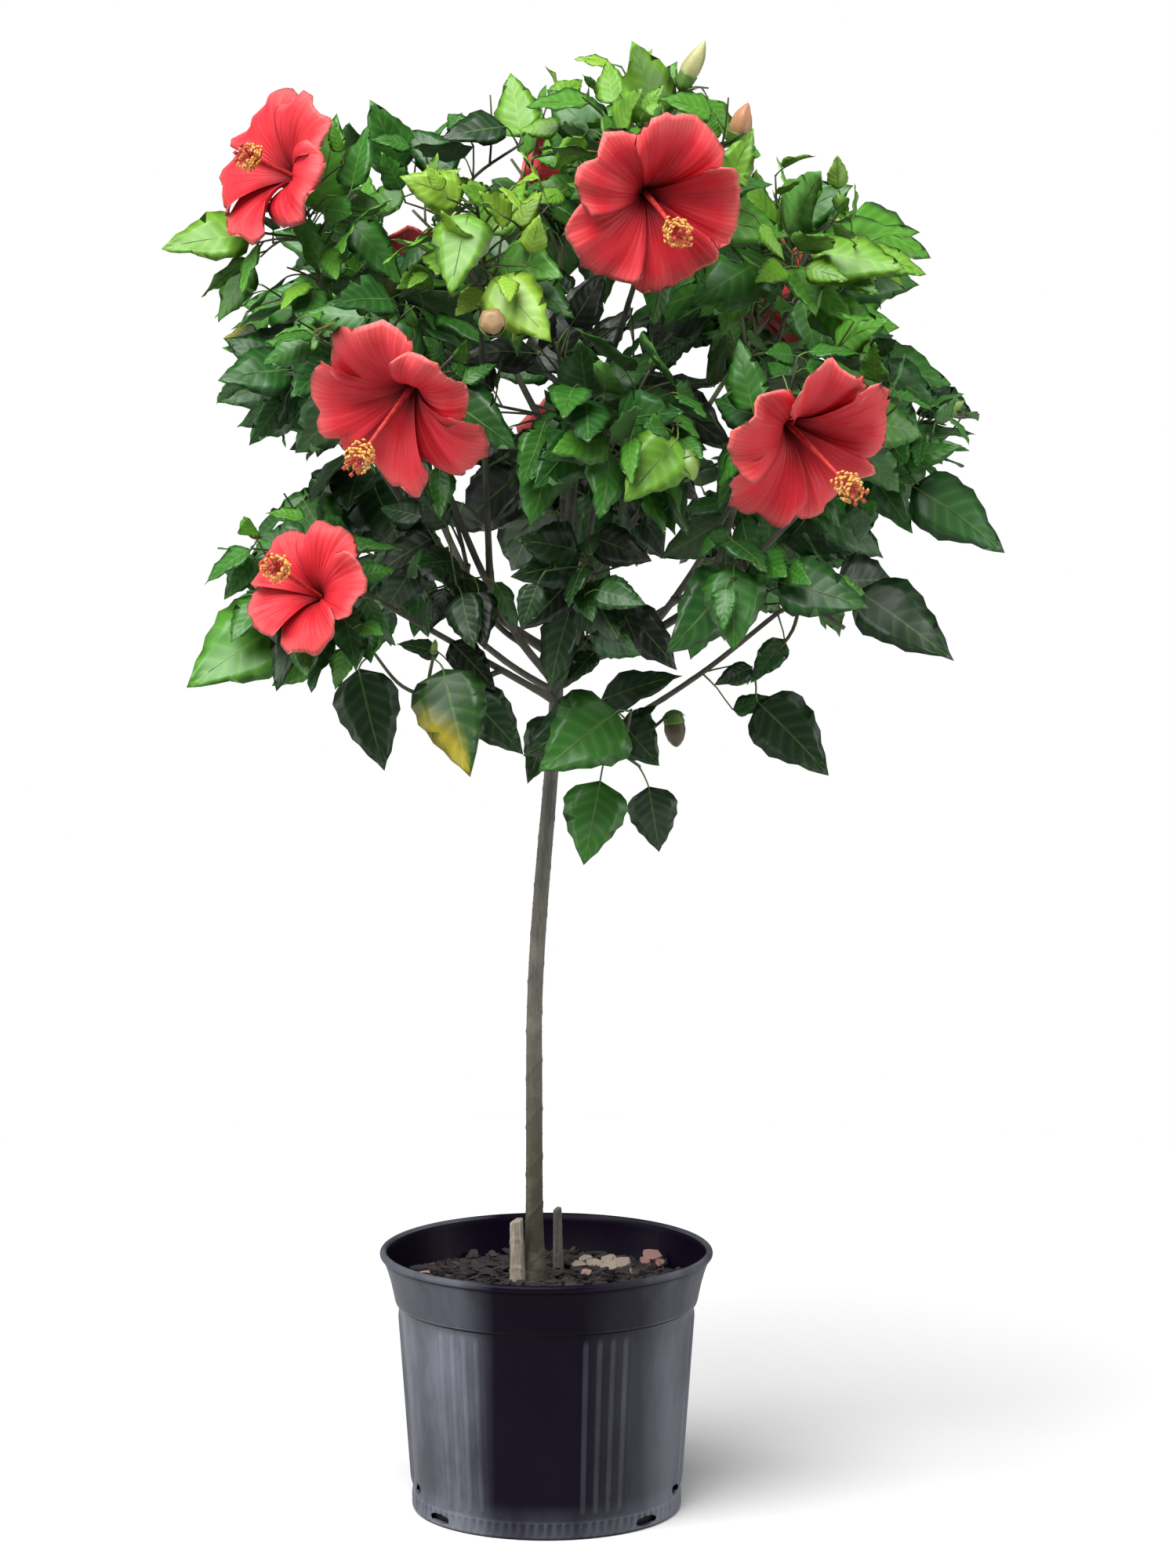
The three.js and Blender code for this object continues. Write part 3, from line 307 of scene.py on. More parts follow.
FUNNEL = 0.42  # how far a bloom's foot lies behind its throat, in radii
# Each bud, spent bloom or capsule: base, direction, length, radius and kind.
BUDS = {
    "top": ((110, -40, 1190), (0.45, 0, 0.9), 44, 8, "pale"),
    "front_high": ((150, -160, 1150), (0.3, -0.2, 0.9), 36, 9, "blush"),
    "front_top": ((-39, -262, 1015), (0, -0.9, 0.2), 24, 11, "spent"),
    "front_left": ((-122, -215, 1018), (-0.2, -0.4, 0.9), 22, 7, "lime"),
    "centre": ((112, -245, 915), (0.2, -0.5, -0.8), 26, 8, "lime"),
    "right": ((322, 0, 918), (0.8, 0, 0.6), 28, 6, "lime"),
    "skirt_right": ((105, -35, 682), (0.1, 0, -1), 30, 9, "capsule"),
}
# Sight lines that stay open: [x, z] above the pot's centre, and the radius kept clear.
CLEAR_WAYS = [
    [-42, 1136, 22], [-110, 1084, 15], [-223, 1049, 13], [-19, 932, 17], [125, 970, 8],
    [188, 999, 10], [-56, 804, 14], [-30, 716, 22], [80, 697, 23], [96, 783, 18],
    [171, 710, 32], [211, 748, 19], [-127, 716, 13], [132, 647, 26], [-227, 874, 26],
]
CROWN_MIDDLE = np.array([15.0, 0.0, 925.0])
HEARTS = np.array([mass[1] for mass in MASSES.values()], float)
REACHES = np.array([mass[2] for mass in MASSES.values()], float)
print("crown:", len(MASSES), "masses,", len(BLOOMS), "blooms,", len(BUDS), "buds")

# %% [markdown]
# ## What a leaf must keep clear of
#
# A new leaf is tested at points spread over its blade and stalk. It has to stay in its
# mass's share of the room, off the limbs, off the blooms and out of the open sight lines.
# Each test takes all the points at once.

# %% The tests
GOLDEN_TURN = math.radians(137.5)
LEAF_LENGTH = (70, 102)
LEAF_ARCH = 0.16
LEAF_WIDTH = ([0, 0.3, 0.66, 1], [0.02, 0.3, 0.215, 0])
LEAF_SPREAD = (48, 22)  # degrees between stalk and twig: the least, and what chance adds
LEAF_ROOM = 9
LEAF_PAST_REACH = 8  # how far a leaf may stand out past its mass's reach
LEAF_TRIES = 7
TRY_SMALLER, TRY_TURN = 0.06, 2.1  # what each further try takes off and turns on by
LEAF_CLEAR_OF_LIMB = 12
SHOOT_CLEAR_OF_LIMB = 3
STEM_STEPS, SHOOT_STEPS = 5, 2
LEAST_LEAVES = 2
CELL_MARGIN = 0.6
LIMB_GAP = 0.3

STARTS = np.concatenate([points[:-1] for points, _ in LIMBS.values()])
ENDS = np.concatenate([points[1:] for points, _ in LIMBS.values()])
THICK = np.concatenate([np.maximum(radii[:-1], radii[1:]) for _, radii in LIMBS.values()])
OWNER = np.concatenate([[name] * (len(points) - 1) for name, (points, _) in LIMBS.items()])
WAY_POINTS = np.array([[x, 0.0, z] for x, z, _ in CLEAR_WAYS])
WAYS = unit(WAY_POINTS - EYE)
WAY_RADII = np.array([radius for _, _, radius in CLEAR_WAYS], float)


def keeps_to_space(points, index):
    """Inside every plane between its own heart and another: the plane lies where the two
    squared distances, each less its reach squared, are equal."""
    power = ((points[:, None] - HEARTS) ** 2).sum(-1) - REACHES**2
    apart = np.linalg.norm(HEARTS - HEARTS[index], axis=-1)
    apart[index] = 1
    inside = (power - power[:, [index]]) / (2 * apart)
    inside[:, index] = CELL_MARGIN
    return bool((inside >= CELL_MARGIN).all())


def clear_of_limbs(points, own_limb, room):
    """The nearest place on each straight stretch of limb is further off than its radius."""
    length = ENDS - STARTS
    share = ((points[:, None] - STARTS) * length).sum(-1) / (length**2).sum(-1)
    foot = STARTS + np.clip(share, 0, 1)[..., None] * length
    distance = np.linalg.norm(points[:, None] - foot, axis=-1)
    return bool((distance >= THICK + np.where(OWNER == own_limb, 2, room)).all())


def aside(offset, way):
    """How far an offset lies to the side of a direction."""
    return np.linalg.norm(offset - way * np.sum(offset * way, -1, keepdims=True), axis=-1)


def clear_of_ways(points):
    """Every point is off every open sight line by the radius kept clear."""
    return bool((aside((points - EYE)[:, None], WAYS) >= WAY_RADII).all())


def clear_of_blooms(points):
    """No point lies on a bloom or just ahead of it, nor between a front bloom and the eye."""
    for throat, facing, radius, _ in BLOOMS.values():
        middle, ahead = np.array(throat, float), unit(facing)
        offset = points - middle
        depth = offset @ ahead
        on = (depth > -0.16 * radius) & (depth < 2.5 * radius) & (aside(offset, ahead) < radius)
        sight = unit(middle - EYE)
        before = (middle[1] < 0) & (offset @ sight < 0) & (aside(offset, sight) < 0.85 * radius)
        if (on | before).any():
            return False
    return True


print("tests ready for", len(STARTS), "stretches of limb and", len(WAYS), "open sight lines")

# %% [markdown]
# ## One leaf, as the rule sees it
#
# A leaf is a stalk from its twig to the foot of the blade, a direction, a face and a
# length. Its blade bends back towards the tip by a share of its length.

# %% Points on a leaf
SAMPLE_SHARES = np.array([0.15, 0.3, 0.48, 0.66, 0.83])
SAMPLE_ACROSS = np.array([-1, -0.5, 0, 0.5, 1])


def leaf_points(leaf, share, across):
    """Base plus way by the share of the length, less face by arch and share squared, plus
    side by the distance across; distances across are shares of the length."""
    share, across = np.asarray(share, float)[..., None], np.asarray(across, float)[..., None]
    side = np.cross(leaf["way"], leaf["face"])
    reach = leaf["way"] * share - leaf["face"] * LEAF_ARCH * share**2 + side * across
    return leaf["base"] + leaf["length"] * reach


def leaf_samples(leaf):
    """Two places on the stalk, a grid over the blade, its foot and its tip."""
    share, across = np.meshgrid(SAMPLE_SHARES, SAMPLE_ACROSS, indexing="ij")
    blade = leaf_points(leaf, share, across * np.interp(share, *LEAF_WIDTH)).reshape(-1, 3)
    stalk = [leaf["from"] + (leaf["base"] - leaf["from"]) * share for share in (0.5, 0.8)]
    return np.vstack([stalk, blade, [leaf["base"]], leaf_points(leaf, [1], [0])])


def apart(some, others, room):
    """True where no point of one set is within the room of a point of the other."""
    return bool((((some[:, None] - others) ** 2).sum(-1) > room**2).all())


print("a leaf is tested at", SAMPLE_SHARES.size * SAMPLE_ACROSS.size + 4, "points")

# %% [markdown]
# ## The growth rule
#
# A mass grows in the order of the solids: a stem to its heart, the leaves of the outline,
# the bloom and bud, then free shoots that fan outwards. Leaves stand round each shoot by
# the golden turn, as on the real plant, small near the tip and large further back. A leaf
# that would touch something is tried again, turned on and smaller, and then skipped.
#
# The solids stop there. This file lets each shoot carry on into short side twigs with
# smaller leaves, under the same tests, from a second seeded stream, so that the first
# stream and so the leaves of the solids stay as they were.

# %% Grow one mass
FINE_ROOM = 7
FINE_CLEAR_OF_LIMB = 5
FINE_LENGTH = (40, 66)
CORE_LENGTH = (54, 88)
FINE_NODES = (0.25, 0.45, 0.65, 0.85, 1.0)
# Masses at the crown's lower edge stay as open as their shoots are.
SPARSE = {"right_outer", "skirt_left", "skirt_right"}
# Masses round the crown's middle, where leaves are large; they are also dark there, as painted shade.
CORE = {
    "heart", "centre", "low_front", "low_left",
    "back_low", "back_left_low", "back_right_low", "back_top",
}


class Mass:
    """One mass of foliage while it grows: its stem, shoots, leaves, bloom and bud."""

    def __init__(self, name, index):
        self.name, self.index = name, index
        self.limb, heart, self.reach, self.free, self.count, seed, self.youth = MASSES[name]
        self.heart = np.array(heart, float)
        self.draw = seeded(seed)
        self.shoots, self.leaves, self.twigs, self.outline = [], [], [], []
        self.room, self.limb_room = LEAF_ROOM, LEAF_CLEAR_OF_LIMB
        if self.limb in LINES:
            points, radii = LINES[self.limb]
            way = unit(points[-1] - points[-2])
            root = points[-1] + way * LIMB_GAP
            self.stem_radius = radii[-1]
        else:
            axis = trunk_line(TRUNK_SHOOT_HEIGHT)
            way = unit((self.heart - axis) * [1, 1, 0.3])
            root = axis + way * (trunk_radius(TRUNK_SHOOT_HEIGHT) + LIMB_GAP)
            self.stem_radius = TRUNK_SHOOT_RADIUS
        bend = root + way * np.linalg.norm(self.heart - root) * 0.45
        self.stem = curve(root, bend, self.heart, STEM_STEPS)

    def leaf_fits(self, samples):
        """All the tests, the quickest first."""
        return (
            (np.linalg.norm(samples - self.heart, axis=-1) <= self.reach + LEAF_PAST_REACH).all()
            and all(apart(samples, other["samples"], self.room) for other in self.leaves)
            and keeps_to_space(samples, self.index)
            and clear_of_ways(samples)
            and clear_of_blooms(samples)
            and clear_of_limbs(samples, self.limb, self.limb_room)
        )

    def shoot_fits(self, points):
        """Ten places along the shoot are in the mass's own room and off the limbs."""
        samples = np.array([along(points, k / 9)[0] for k in range(10)])
        own = keeps_to_space(samples, self.index)
        return own and clear_of_limbs(samples, self.limb, SHOOT_CLEAR_OF_LIMB)

    def shoot_to(self, start, tip):
        """A curve that leaves its stem's way by a fifth of its length, and ends at the tip."""
        point, way = start
        length = np.linalg.norm(tip - point)
        return curve(point, point * 0.7 + tip * 0.3 + way * 0.2 * length, tip, SHOOT_STEPS)

    def nearest_on_stem(self, point):
        """The nearest of four places on the stem, and the stem's direction there."""
        places = [along(self.stem, share) for share in (0.4, 0.6, 0.8, 0.95)]
        return min(places, key=lambda place: np.linalg.norm(place[0] - point))

    def keep_leaf(self, leaf):
        """Adds the leaf, with the points that later leaves are tested against."""
        leaf["samples"] = leaf_samples(leaf)
        leaf["youth"] = self.youth
        self.leaves.append(leaf)

    def dress(self, points, count, draw, lengths=LEAF_LENGTH, nodes=(0.97, 0.25), stalk=(14, 12)):
        """Leaves from the shoot's tip back, each a golden turn on from the last."""
        phase = draw() * 2 * math.pi
        kept = 0
        for k in range(count):
            age = k / (count - 1) if count > 1 else 0.5
            share = nodes[0] + (nodes[1] - nodes[0]) * age if count > 1 else 0.6
            point, node_way = along(points, share)
            spread = math.radians(LEAF_SPREAD[0] + LEAF_SPREAD[1] * draw())
            grown = lengths[0] + (lengths[1] - lengths[0]) * min(1, age * 1.6)
            length = grown * (0.9 + 0.22 * draw())
            loose = draw()
            look = draw() * 2 * math.pi
            first, second = square_to(node_way)
            for attempt in range(LEAF_TRIES):
                size = 1 - TRY_SMALLER * attempt
                angle = phase + k * GOLDEN_TURN + TRY_TURN * attempt
                ring = first * math.cos(angle) + second * math.sin(angle)
                stalk_way = unit(node_way * math.cos(spread) + ring * math.sin(spread) + UP * 0.15)
                base = point + stalk_way * (stalk[0] + stalk[1] * age + 8 * loose) * size
                outward = unit(base - CROWN_MIDDLE)
                way = unit(stalk_way * 0.8 + outward * 0.35 - UP * (0.25 + 0.5 * age))
                around = np.array([math.cos(look), math.sin(look), 0]) * 0.5
                flat = squared(outward * 0.2 + UP * 0.45 + around + np.array([0, -0.45, 0]), way)
                roll = (loose - 0.5) * 0.8
                face = unit(flat * math.cos(roll) + np.cross(way, flat) * math.sin(roll))
                leaf = {"from": point, "base": base, "way": way, "face": face}
                leaf.update(length=length * size, age=age)
                if self.leaf_fits(leaf_samples(leaf)):
                    self.keep_leaf(leaf)
                    kept += 1
                    break
        return kept

    def grow_outline(self):
        """Each named leaf on a shoot from the stem, and the leaves that follow it there."""
        for base, tip, followers in OUTLINE_LEAVES.get(self.name, []):
            base, tip = np.array(base, float), np.array(tip, float)
            start = self.nearest_on_stem(base)
            straight = unit(tip - base)
            end = base - 20 * unit(straight * 0.8 + unit(base - start[0]) * 0.6)
            length = np.linalg.norm(tip - base)
            sky = unit(base - CROWN_MIDDLE) * 0.35 + UP * 0.5 + np.array([0, -0.9, 0])
            flat = squared(sky, straight)
            way = unit(tip + flat * length * LEAF_ARCH - base)
            points = self.shoot_to(start, end)
            leaf = {"from": along(points, 0.95)[0], "base": base, "way": way}
            leaf.update(face=squared(flat, way), length=length, age=0.6)
            self.keep_leaf(leaf)
            self.outline.append(leaf)
            self.shoots.append(points)
            self.dress(points, followers, self.draw)

    def grow_bloom_and_bud(self):
        """One shoot that ends at the bloom's cup, and one that ends at the bud's foot."""
        if self.name in BLOOMS:
            throat, facing, radius, _ = BLOOMS[self.name]
            facing = unit(facing)
            calyx = np.array(throat, float) - facing * FUNNEL * radius
            self.shoots.append(self.shoot_to(self.nearest_on_stem(calyx - facing * 30), calyx))
        if self.name in BUDS:
            base = np.array(BUDS[self.name][0], float)
            self.shoots.append(self.shoot_to(self.nearest_on_stem(base), base))

    def grow_free_shoots(self):
        """Shoots that fan out from the crown's middle, by the golden turn; one that grows
        too few leaves is taken back with them."""
        lean = unit(unit(self.heart - CROWN_MIDDLE) + UP * 0.35)
        first, second = square_to(lean)
        for k in range(self.free):
            share = (k + 0.5) / self.free
            cosine = 1 - share * 1.25
            sine = math.sqrt(1 - cosine * cosine)
            angle = k * GOLDEN_TURN + self.draw() * 1.2
            ring = first * math.cos(angle) + second * math.sin(angle)
            start = along(self.stem, 0.4 + 0.55 * share)
            far = self.reach * (0.5 + 0.3 * self.draw())
            out = (lean * cosine + ring * sine) * far
            tries = [self.shoot_to(start, self.heart + out * part) for part in (1, 0.75, 0.5)]
            points = next((each for each in tries if self.shoot_fits(each)), None)
            kept = self.dress(points, self.count, self.draw) if points is not None else 0
            if kept >= LEAST_LEAVES:
                self.shoots.append(points)
            elif kept:
                del self.leaves[-kept:]

    def grow_fine_twigs(self, draw):
        """Side twigs on the shoots and on the stem, each with a few smaller leaves."""
        self.room, self.limb_room = FINE_ROOM, FINE_CLEAR_OF_LIMB
        lengths, count = (CORE_LENGTH, 4) if self.name in CORE else (FINE_LENGTH, 3)
        for points in [*self.shoots, self.stem]:
            for share in FINE_NODES:
                point, way = along(points, share)
                first, second = square_to(way)
                for _ in range(3):
                    angle = draw() * 2 * math.pi
                    ring = first * math.cos(angle) + second * math.sin(angle)
                    tip = point + (way * 0.75 + ring + UP * 0.2) * (16 + 26 * draw())
                    twig = curve(point, (point + tip) / 2 + way * 4, tip, SHOOT_STEPS)
                    before = len(self.leaves)
                    if self.shoot_fits(twig) and self.dress(
                        twig, count, draw, lengths, nodes=(0.98, 0.45), stalk=(9, 7)
                    ):
                        for leaf in self.leaves[before:]:
                            leaf["age"] *= 0.7
                        self.twigs.append(twig)
                        break


def grow_mass(name, index, fine=True):
    """Grows one mass by the rule of the solids, and then its fine twigs."""
    mass = Mass(name, index)
    mass.grow_outline()
    mass.grow_bloom_and_bud()
    mass.grow_free_shoots()
    mass.solid_leaves = len(mass.leaves)
    if fine and name not in SPARSE:
        mass.grow_fine_twigs(seeded(MASSES[name][5] + 1000))
    return mass


CROWN = [grow_mass(name, index) for index, name in enumerate(MASSES)]
print("grown:", len(CROWN), "masses with", sum(len(mass.leaves) for mass in CROWN), "leaves")

# %% [markdown]
# The lower limbs are bare wood with a few small leaves of their own. They are so few that
# each one is placed by name, on a stalk from the nearest point of its limb.

# %% Small leaves low on the boughs
# Each low leaf: limb, base, tip and shade.
LOW_LEAVES = (
    ("right_outer", (45, -40, 691), (109, -70, 717), 5),
    ("right_outer", (154, -40, 684), (188, -50, 695), 4),
    ("right_outer", (196, -45, 743), (168, -60, 708), 4),
    ("right_outer", (170, -45, 720), (139, -60, 708), 5),
    ("right_outer", (67, -40, 668), (90, -50, 689), 5),
    ("trunk", (7, -30, 678), (-14, -60, 628), 5),
    ("skirt_left", (-77, -80, 745), (-40, -95, 709), 6),
    ("skirt_left", (-86, -80, 736), (-119, -95, 746), 5),
)


def low_leaf(mass, limb, base, tip, shade):
    """One leaf on a stalk from the nearest point of the limb, facing forwards and up."""
    base, tip = np.array(base, float), np.array(tip, float)
    places = trunk_line(base[2])[None] if limb == "trunk" else LINES[limb][0]
    start = min(places, key=lambda place: np.linalg.norm(place - base))
    length = np.linalg.norm(tip - base)
    flat = squared(np.array([0.1, -0.8, 0.6]), unit(tip - base))
    way = unit(tip + flat * length * LEAF_ARCH - base)
    leaf = {"from": start, "base": base, "way": way, "face": squared(flat, way)}
    leaf.update(length=length, age=0.6, shade=shade, broad=0.85)
    mass.keep_leaf(leaf)


SKIRT = next(mass for mass in CROWN if mass.name == "skirt_right")
for row in LOW_LEAVES:
    low_leaf(SKIRT, *row)
print("small leaves low on the boughs:", len(LOW_LEAVES))

# %% [markdown]
# A bloom stands on a rosette of leaves. At the back of the crown these leaves also stop
# the red petals from showing through the crown.

# %% Rosettes behind the blooms at the back
ROSETTE_LEAVES, ROSETTE_INNER = 15, 9  # the leaves past the inner ones stand further out
ROSETTE_TURN = 2.4  # from leaf to leaf, in radians


def grow_rosette(mass, draw):
    """Leaves spread square to the bloom's axis, from just behind its cup."""
    throat, facing, radius, _ = BLOOMS[mass.name]
    facing = unit(facing)
    first, second = square_to(facing)
    foot = np.array(throat, float) - facing * FUNNEL * radius
    for k in range(ROSETTE_LEAVES):
        angle = k * ROSETTE_TURN + 0.4 * draw()
        out = first * math.cos(angle) + second * math.sin(angle)
        start = foot - facing * (2 + 1.2 * k)
        further = 28 if k >= ROSETTE_INNER else 8
        base = start + out * (further + 8 * draw()) - facing * 4
        way = unit(out - facing * 0.15 + UP * 0.1)
        leaf = {"from": start, "base": base, "way": way, "face": squared(facing, way)}
        leaf.update(length=46 + 16 * draw(), age=0.8)
        if clear_of_ways(leaf_samples(leaf)):
            mass.keep_leaf(leaf)


for mass in CROWN:
    if mass.name in BLOOMS and BLOOMS[mass.name][1][1] > 0:
        grow_rosette(mass, seeded(MASSES[mass.name][5] + 2000))

LEAVES = [leaf for mass in CROWN for leaf in mass.leaves]
print("crown:", sum(mass.solid_leaves for mass in CROWN), "leaves as in the solids,")
print("     ", len(LEAVES), "with the fine twigs,", round(time.time() - STARTED, 1), "s so far")

# %% [markdown]
# ## Making meshes from arrays
#
# Every piece is worked out as whole arrays of points and faces in millimetres, and one
# helper turns them into a mesh in metres, with its object at the origin. Pieces that repeat
# one pattern, such as leaves, get a UV map of their own whose islands all lie on top of
# each other. The map is named OFBake.

# %% Mesh helpers
def add_piece(name, points, faces, corner_uv=None, replaces=(), smooth_shading=True):
    """One object from points (n, 3) and a list of face arrays of 3 or 4 corners each."""
    mesh = bpy.data.meshes.new(name)
    rows = [row for array in faces for row in np.asarray(array).tolist()]
    mesh.from_pydata((np.asarray(points) * MM).tolist(), [], rows)
    if corner_uv is not None:
        layer = mesh.uv_layers.new(name="OFBake")
        flat = np.concatenate([np.asarray(array).reshape(-1, 2) for array in corner_uv])
        layer.uv.foreach_set("vector", flat.astype(np.float32).ravel())
    mesh.polygons.foreach_set("use_smooth", np.full(len(rows), smooth_shading))
    mesh.update()
    piece = bpy.data.objects.new(name, mesh)
    link(piece)
    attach(piece, "root")
    if replaces:
        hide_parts(*replaces)
    print(f"{name}: {len(points)} points, {len(rows)} faces")
    return piece


def joined(parts):
    """Puts (points, faces) parts into one pair of arrays, each part's numbers moved up past
    the points of the parts before it."""
    starts = np.cumsum([0] + [len(points) for points, _ in parts[:-1]])
    points = np.concatenate([points for points, _ in parts])
    return points, np.concatenate([faces + start for (_, faces), start in zip(parts, starts)])


def copies(count, points_each, faces):
    """The faces of one shape, repeated for a count of shapes of as many points each."""
    return (np.arange(count)[:, None, None] * points_each + faces).reshape(-1, faces.shape[1])


def grid_faces(rows, columns, closed=False):
    """The four corners of every cell of a grid; a closed grid joins its last column to its
    first."""
    row, column = np.meshgrid(np.arange(rows - 1), np.arange(columns - (not closed)), indexing="ij")
    after = (column + 1) % columns
    corners = [row * columns + column, row * columns + after, (row + 1) * columns + after]
    return np.stack([*corners, (row + 1) * columns + column], -1).reshape(-1, 4)


def closed_faces(rows, columns):
    """The faces of a grid of rings, and the triangles that close it at both ends: each end
    ring is joined to one point, and the two points come right after the grid's own."""
    turn = np.arange(columns)
    after = (turn + 1) % columns
    last, foot = (rows - 1) * columns, rows * columns
    caps = [
        np.stack([after, turn, np.full(columns, foot)], -1),
        np.stack([last + turn, last + after, np.full(columns, foot + 1)], -1),
    ]
    return [grid_faces(rows, columns, closed=True), np.concatenate(caps)]


def full_turn(count):
    """Evenly spaced angles that go once round."""
    return np.linspace(0, 2 * np.pi, count, endpoint=False)


def catmull(points, steps):
    """A smooth line through every point: between two points the cubic whose ends run
    parallel to the chords of their neighbours."""
    padded = np.vstack([2 * points[0] - points[1], points, 2 * points[-1] - points[-2]])
    t = np.linspace(0, 1, steps, endpoint=False)[:, None, None]
    p0, p1, p2, p3 = (padded[k : len(points) - 1 + k] for k in range(4))
    linear, square, cube = p2 - p0, 2 * p0 - 5 * p1 + 4 * p2 - p3, 3 * p1 - p0 - 3 * p2 + p3
    middle = 0.5 * (2 * p1 + linear * t + square * t**2 + cube * t**3)
    return np.vstack([middle.transpose(1, 0, 2).reshape(-1, 3), points[-1:]])


def ring_frames(points):
    """The direction at each point, and two more square to it and to each other. The first
    is one fixed direction less its part along the line, so the rings don't twist."""
    way = unit(np.gradient(points, axis=0))
    fixed = np.eye(3)[np.argmin(np.abs(way).mean(0))]
    first = squared(np.broadcast_to(fixed, way.shape), way)
    return way, first, np.cross(way, first)


TUBE_END = 0.3  # how far a tube's end stands out, as a share of its radius


def tube(points, radii, sides):
    """A limb: at each point a ring of the given radius, at angle a: first times cos a plus
    second times sin a. The ends are closed by one point each. Returns the points, the
    four-cornered faces and the three-cornered ones."""
    way, first, second = ring_frames(points)
    angle = full_turn(sides)
    radii = np.broadcast_to(np.asarray(radii, float).reshape(len(points), -1), (len(points), sides))
    ring = first[:, None] * np.cos(angle)[:, None] + second[:, None] * np.sin(angle)[:, None]
    skin = (points[:, None] + ring * radii[..., None]).reshape(-1, 3)
    foot = points[0] - way[0] * radii[0, 0] * TUBE_END
    head = points[-1] + way[-1] * radii[-1, 0] * TUBE_END
    return np.vstack([skin, foot, head]), *closed_faces(len(points), sides)


def joined_tubes(tubes):
    """Many tubes as one set of points, four-cornered faces and three-cornered faces."""
    points, quads = joined([(skin, faces) for skin, faces, _ in tubes])
    return points, [quads, joined([(skin, caps) for skin, _, caps in tubes])[1]]


print("mesh helpers ready")

# %% [markdown]
# ## Bark
#
# The real stem is smooth grey-brown bark with fine lengthwise strands, low rings where
# leaves once stood, and small raised pores. A displaced grid carries all three, as the
# relief then shows at the outline too. The radius is that of the solid, times one plus a
# sum of waves round the stem and along it, so nothing grows out of proportion.

# %% Stem and boughs with bark relief
TRUNK_SIDES, BOUGH_SIDES = 36, 12
KNUCKLE = {"height": 722, "length": 16, "swell": 0.25}


def bark_relief(angle, length, seed):
    """The share by which the radius grows: strands that wind slowly, rings every few
    centimetres, and pores where two waves meet. Angle is round the limb, length along."""
    wide = 0.5 * np.sin(7 * angle + 0.02 * length + seed)
    strands = wide + 0.5 * np.sin(13 * angle - 0.035 * length + 2 * seed)
    rings = np.exp(-(((length + 9 * np.sin(angle + seed)) % 41 - 20) / 2.2) ** 2)
    pores = np.clip(np.sin(5 * angle + 0.9 * length) * np.sin(0.61 * length - 3 * angle), 0.6, 1) - 0.6
    swell = np.sin(0.013 * length + seed) * np.cos(2 * angle + 0.017 * length)
    return 0.022 * strands + 0.07 * rings + 0.12 * pores + 0.03 * swell


def bark_limb(points, radii, sides, seed):
    """A tube whose rings follow the bark's relief."""
    length = np.concatenate([[0], np.cumsum(np.linalg.norm(np.diff(points, axis=0), axis=1))])
    relief = bark_relief(full_turn(sides)[None], length[:, None], seed)
    return tube(points, np.asarray(radii)[:, None] * (1 + relief), sides)


def make_wood():
    """The stem with its lobed root flare and low knuckle, and every bough."""
    z = np.concatenate([np.linspace(SOIL_LEVEL - 4, 260, 60), np.linspace(261.5, TRUNK["head"], 300)])
    line, radii = trunk_line(z), trunk_radius(np.maximum(z, SOIL_LEVEL))
    head = trunk_line(TRUNK["head"]) + UP * np.array([2.0, 4.0])[:, None]
    knuckle = 1 + KNUCKLE["swell"] * np.exp(-(((z - KNUCKLE["height"]) / KNUCKLE["length"]) ** 2))
    line = np.vstack([line, head])
    radii = np.concatenate([radii * knuckle, TRUNK["head_radius"] * np.array([0.85, 0.5])])
    limbs = [bark_limb(line, radii, TRUNK_SIDES, 0.4)]
    for k, (points, widths) in enumerate(LINES.values()):
        smooth_line = catmull(points, 14)
        share = np.linspace(0, 1, len(smooth_line))
        width = np.interp(share, np.linspace(0, 1, len(widths)), widths)
        collar = 1 + 0.35 * np.exp(-((share * 12) ** 2))
        limbs.append(bark_limb(smooth_line, width * collar, BOUGH_SIDES, 1.7 * k))
    points, faces = joined_tubes(limbs)
    solids = ["trunk", *(name + "_bough" for name in LINES)]
    return add_piece("bark_limbs", points, faces, replaces=solids)


wood = make_wood()

# %% [markdown]
# ## The cut side stems
#
# Two side stems beside the foot were cut back long ago: a pale dry one in front, and a thin
# grey one behind. Each is a tube that ends in a slanted cut with a sunken pith.

# %% Side stems
STUBS = {
    "cut_back_stem_front": ((-24, -14), (-25, -13, 251), (7.5, 5.6), "cut_wood"),
    "cut_back_stem_back": ((10, 38), (9, 36, 250), (5.0, 3.6), "bark"),
}
STUB_RINGS, STUB_SIDES = 34, 28
STUB_INSETS = ((0.08, -0.4), (0.75, 0.1), (0.8, 1.0))  # rings inside the cut: inset, drop


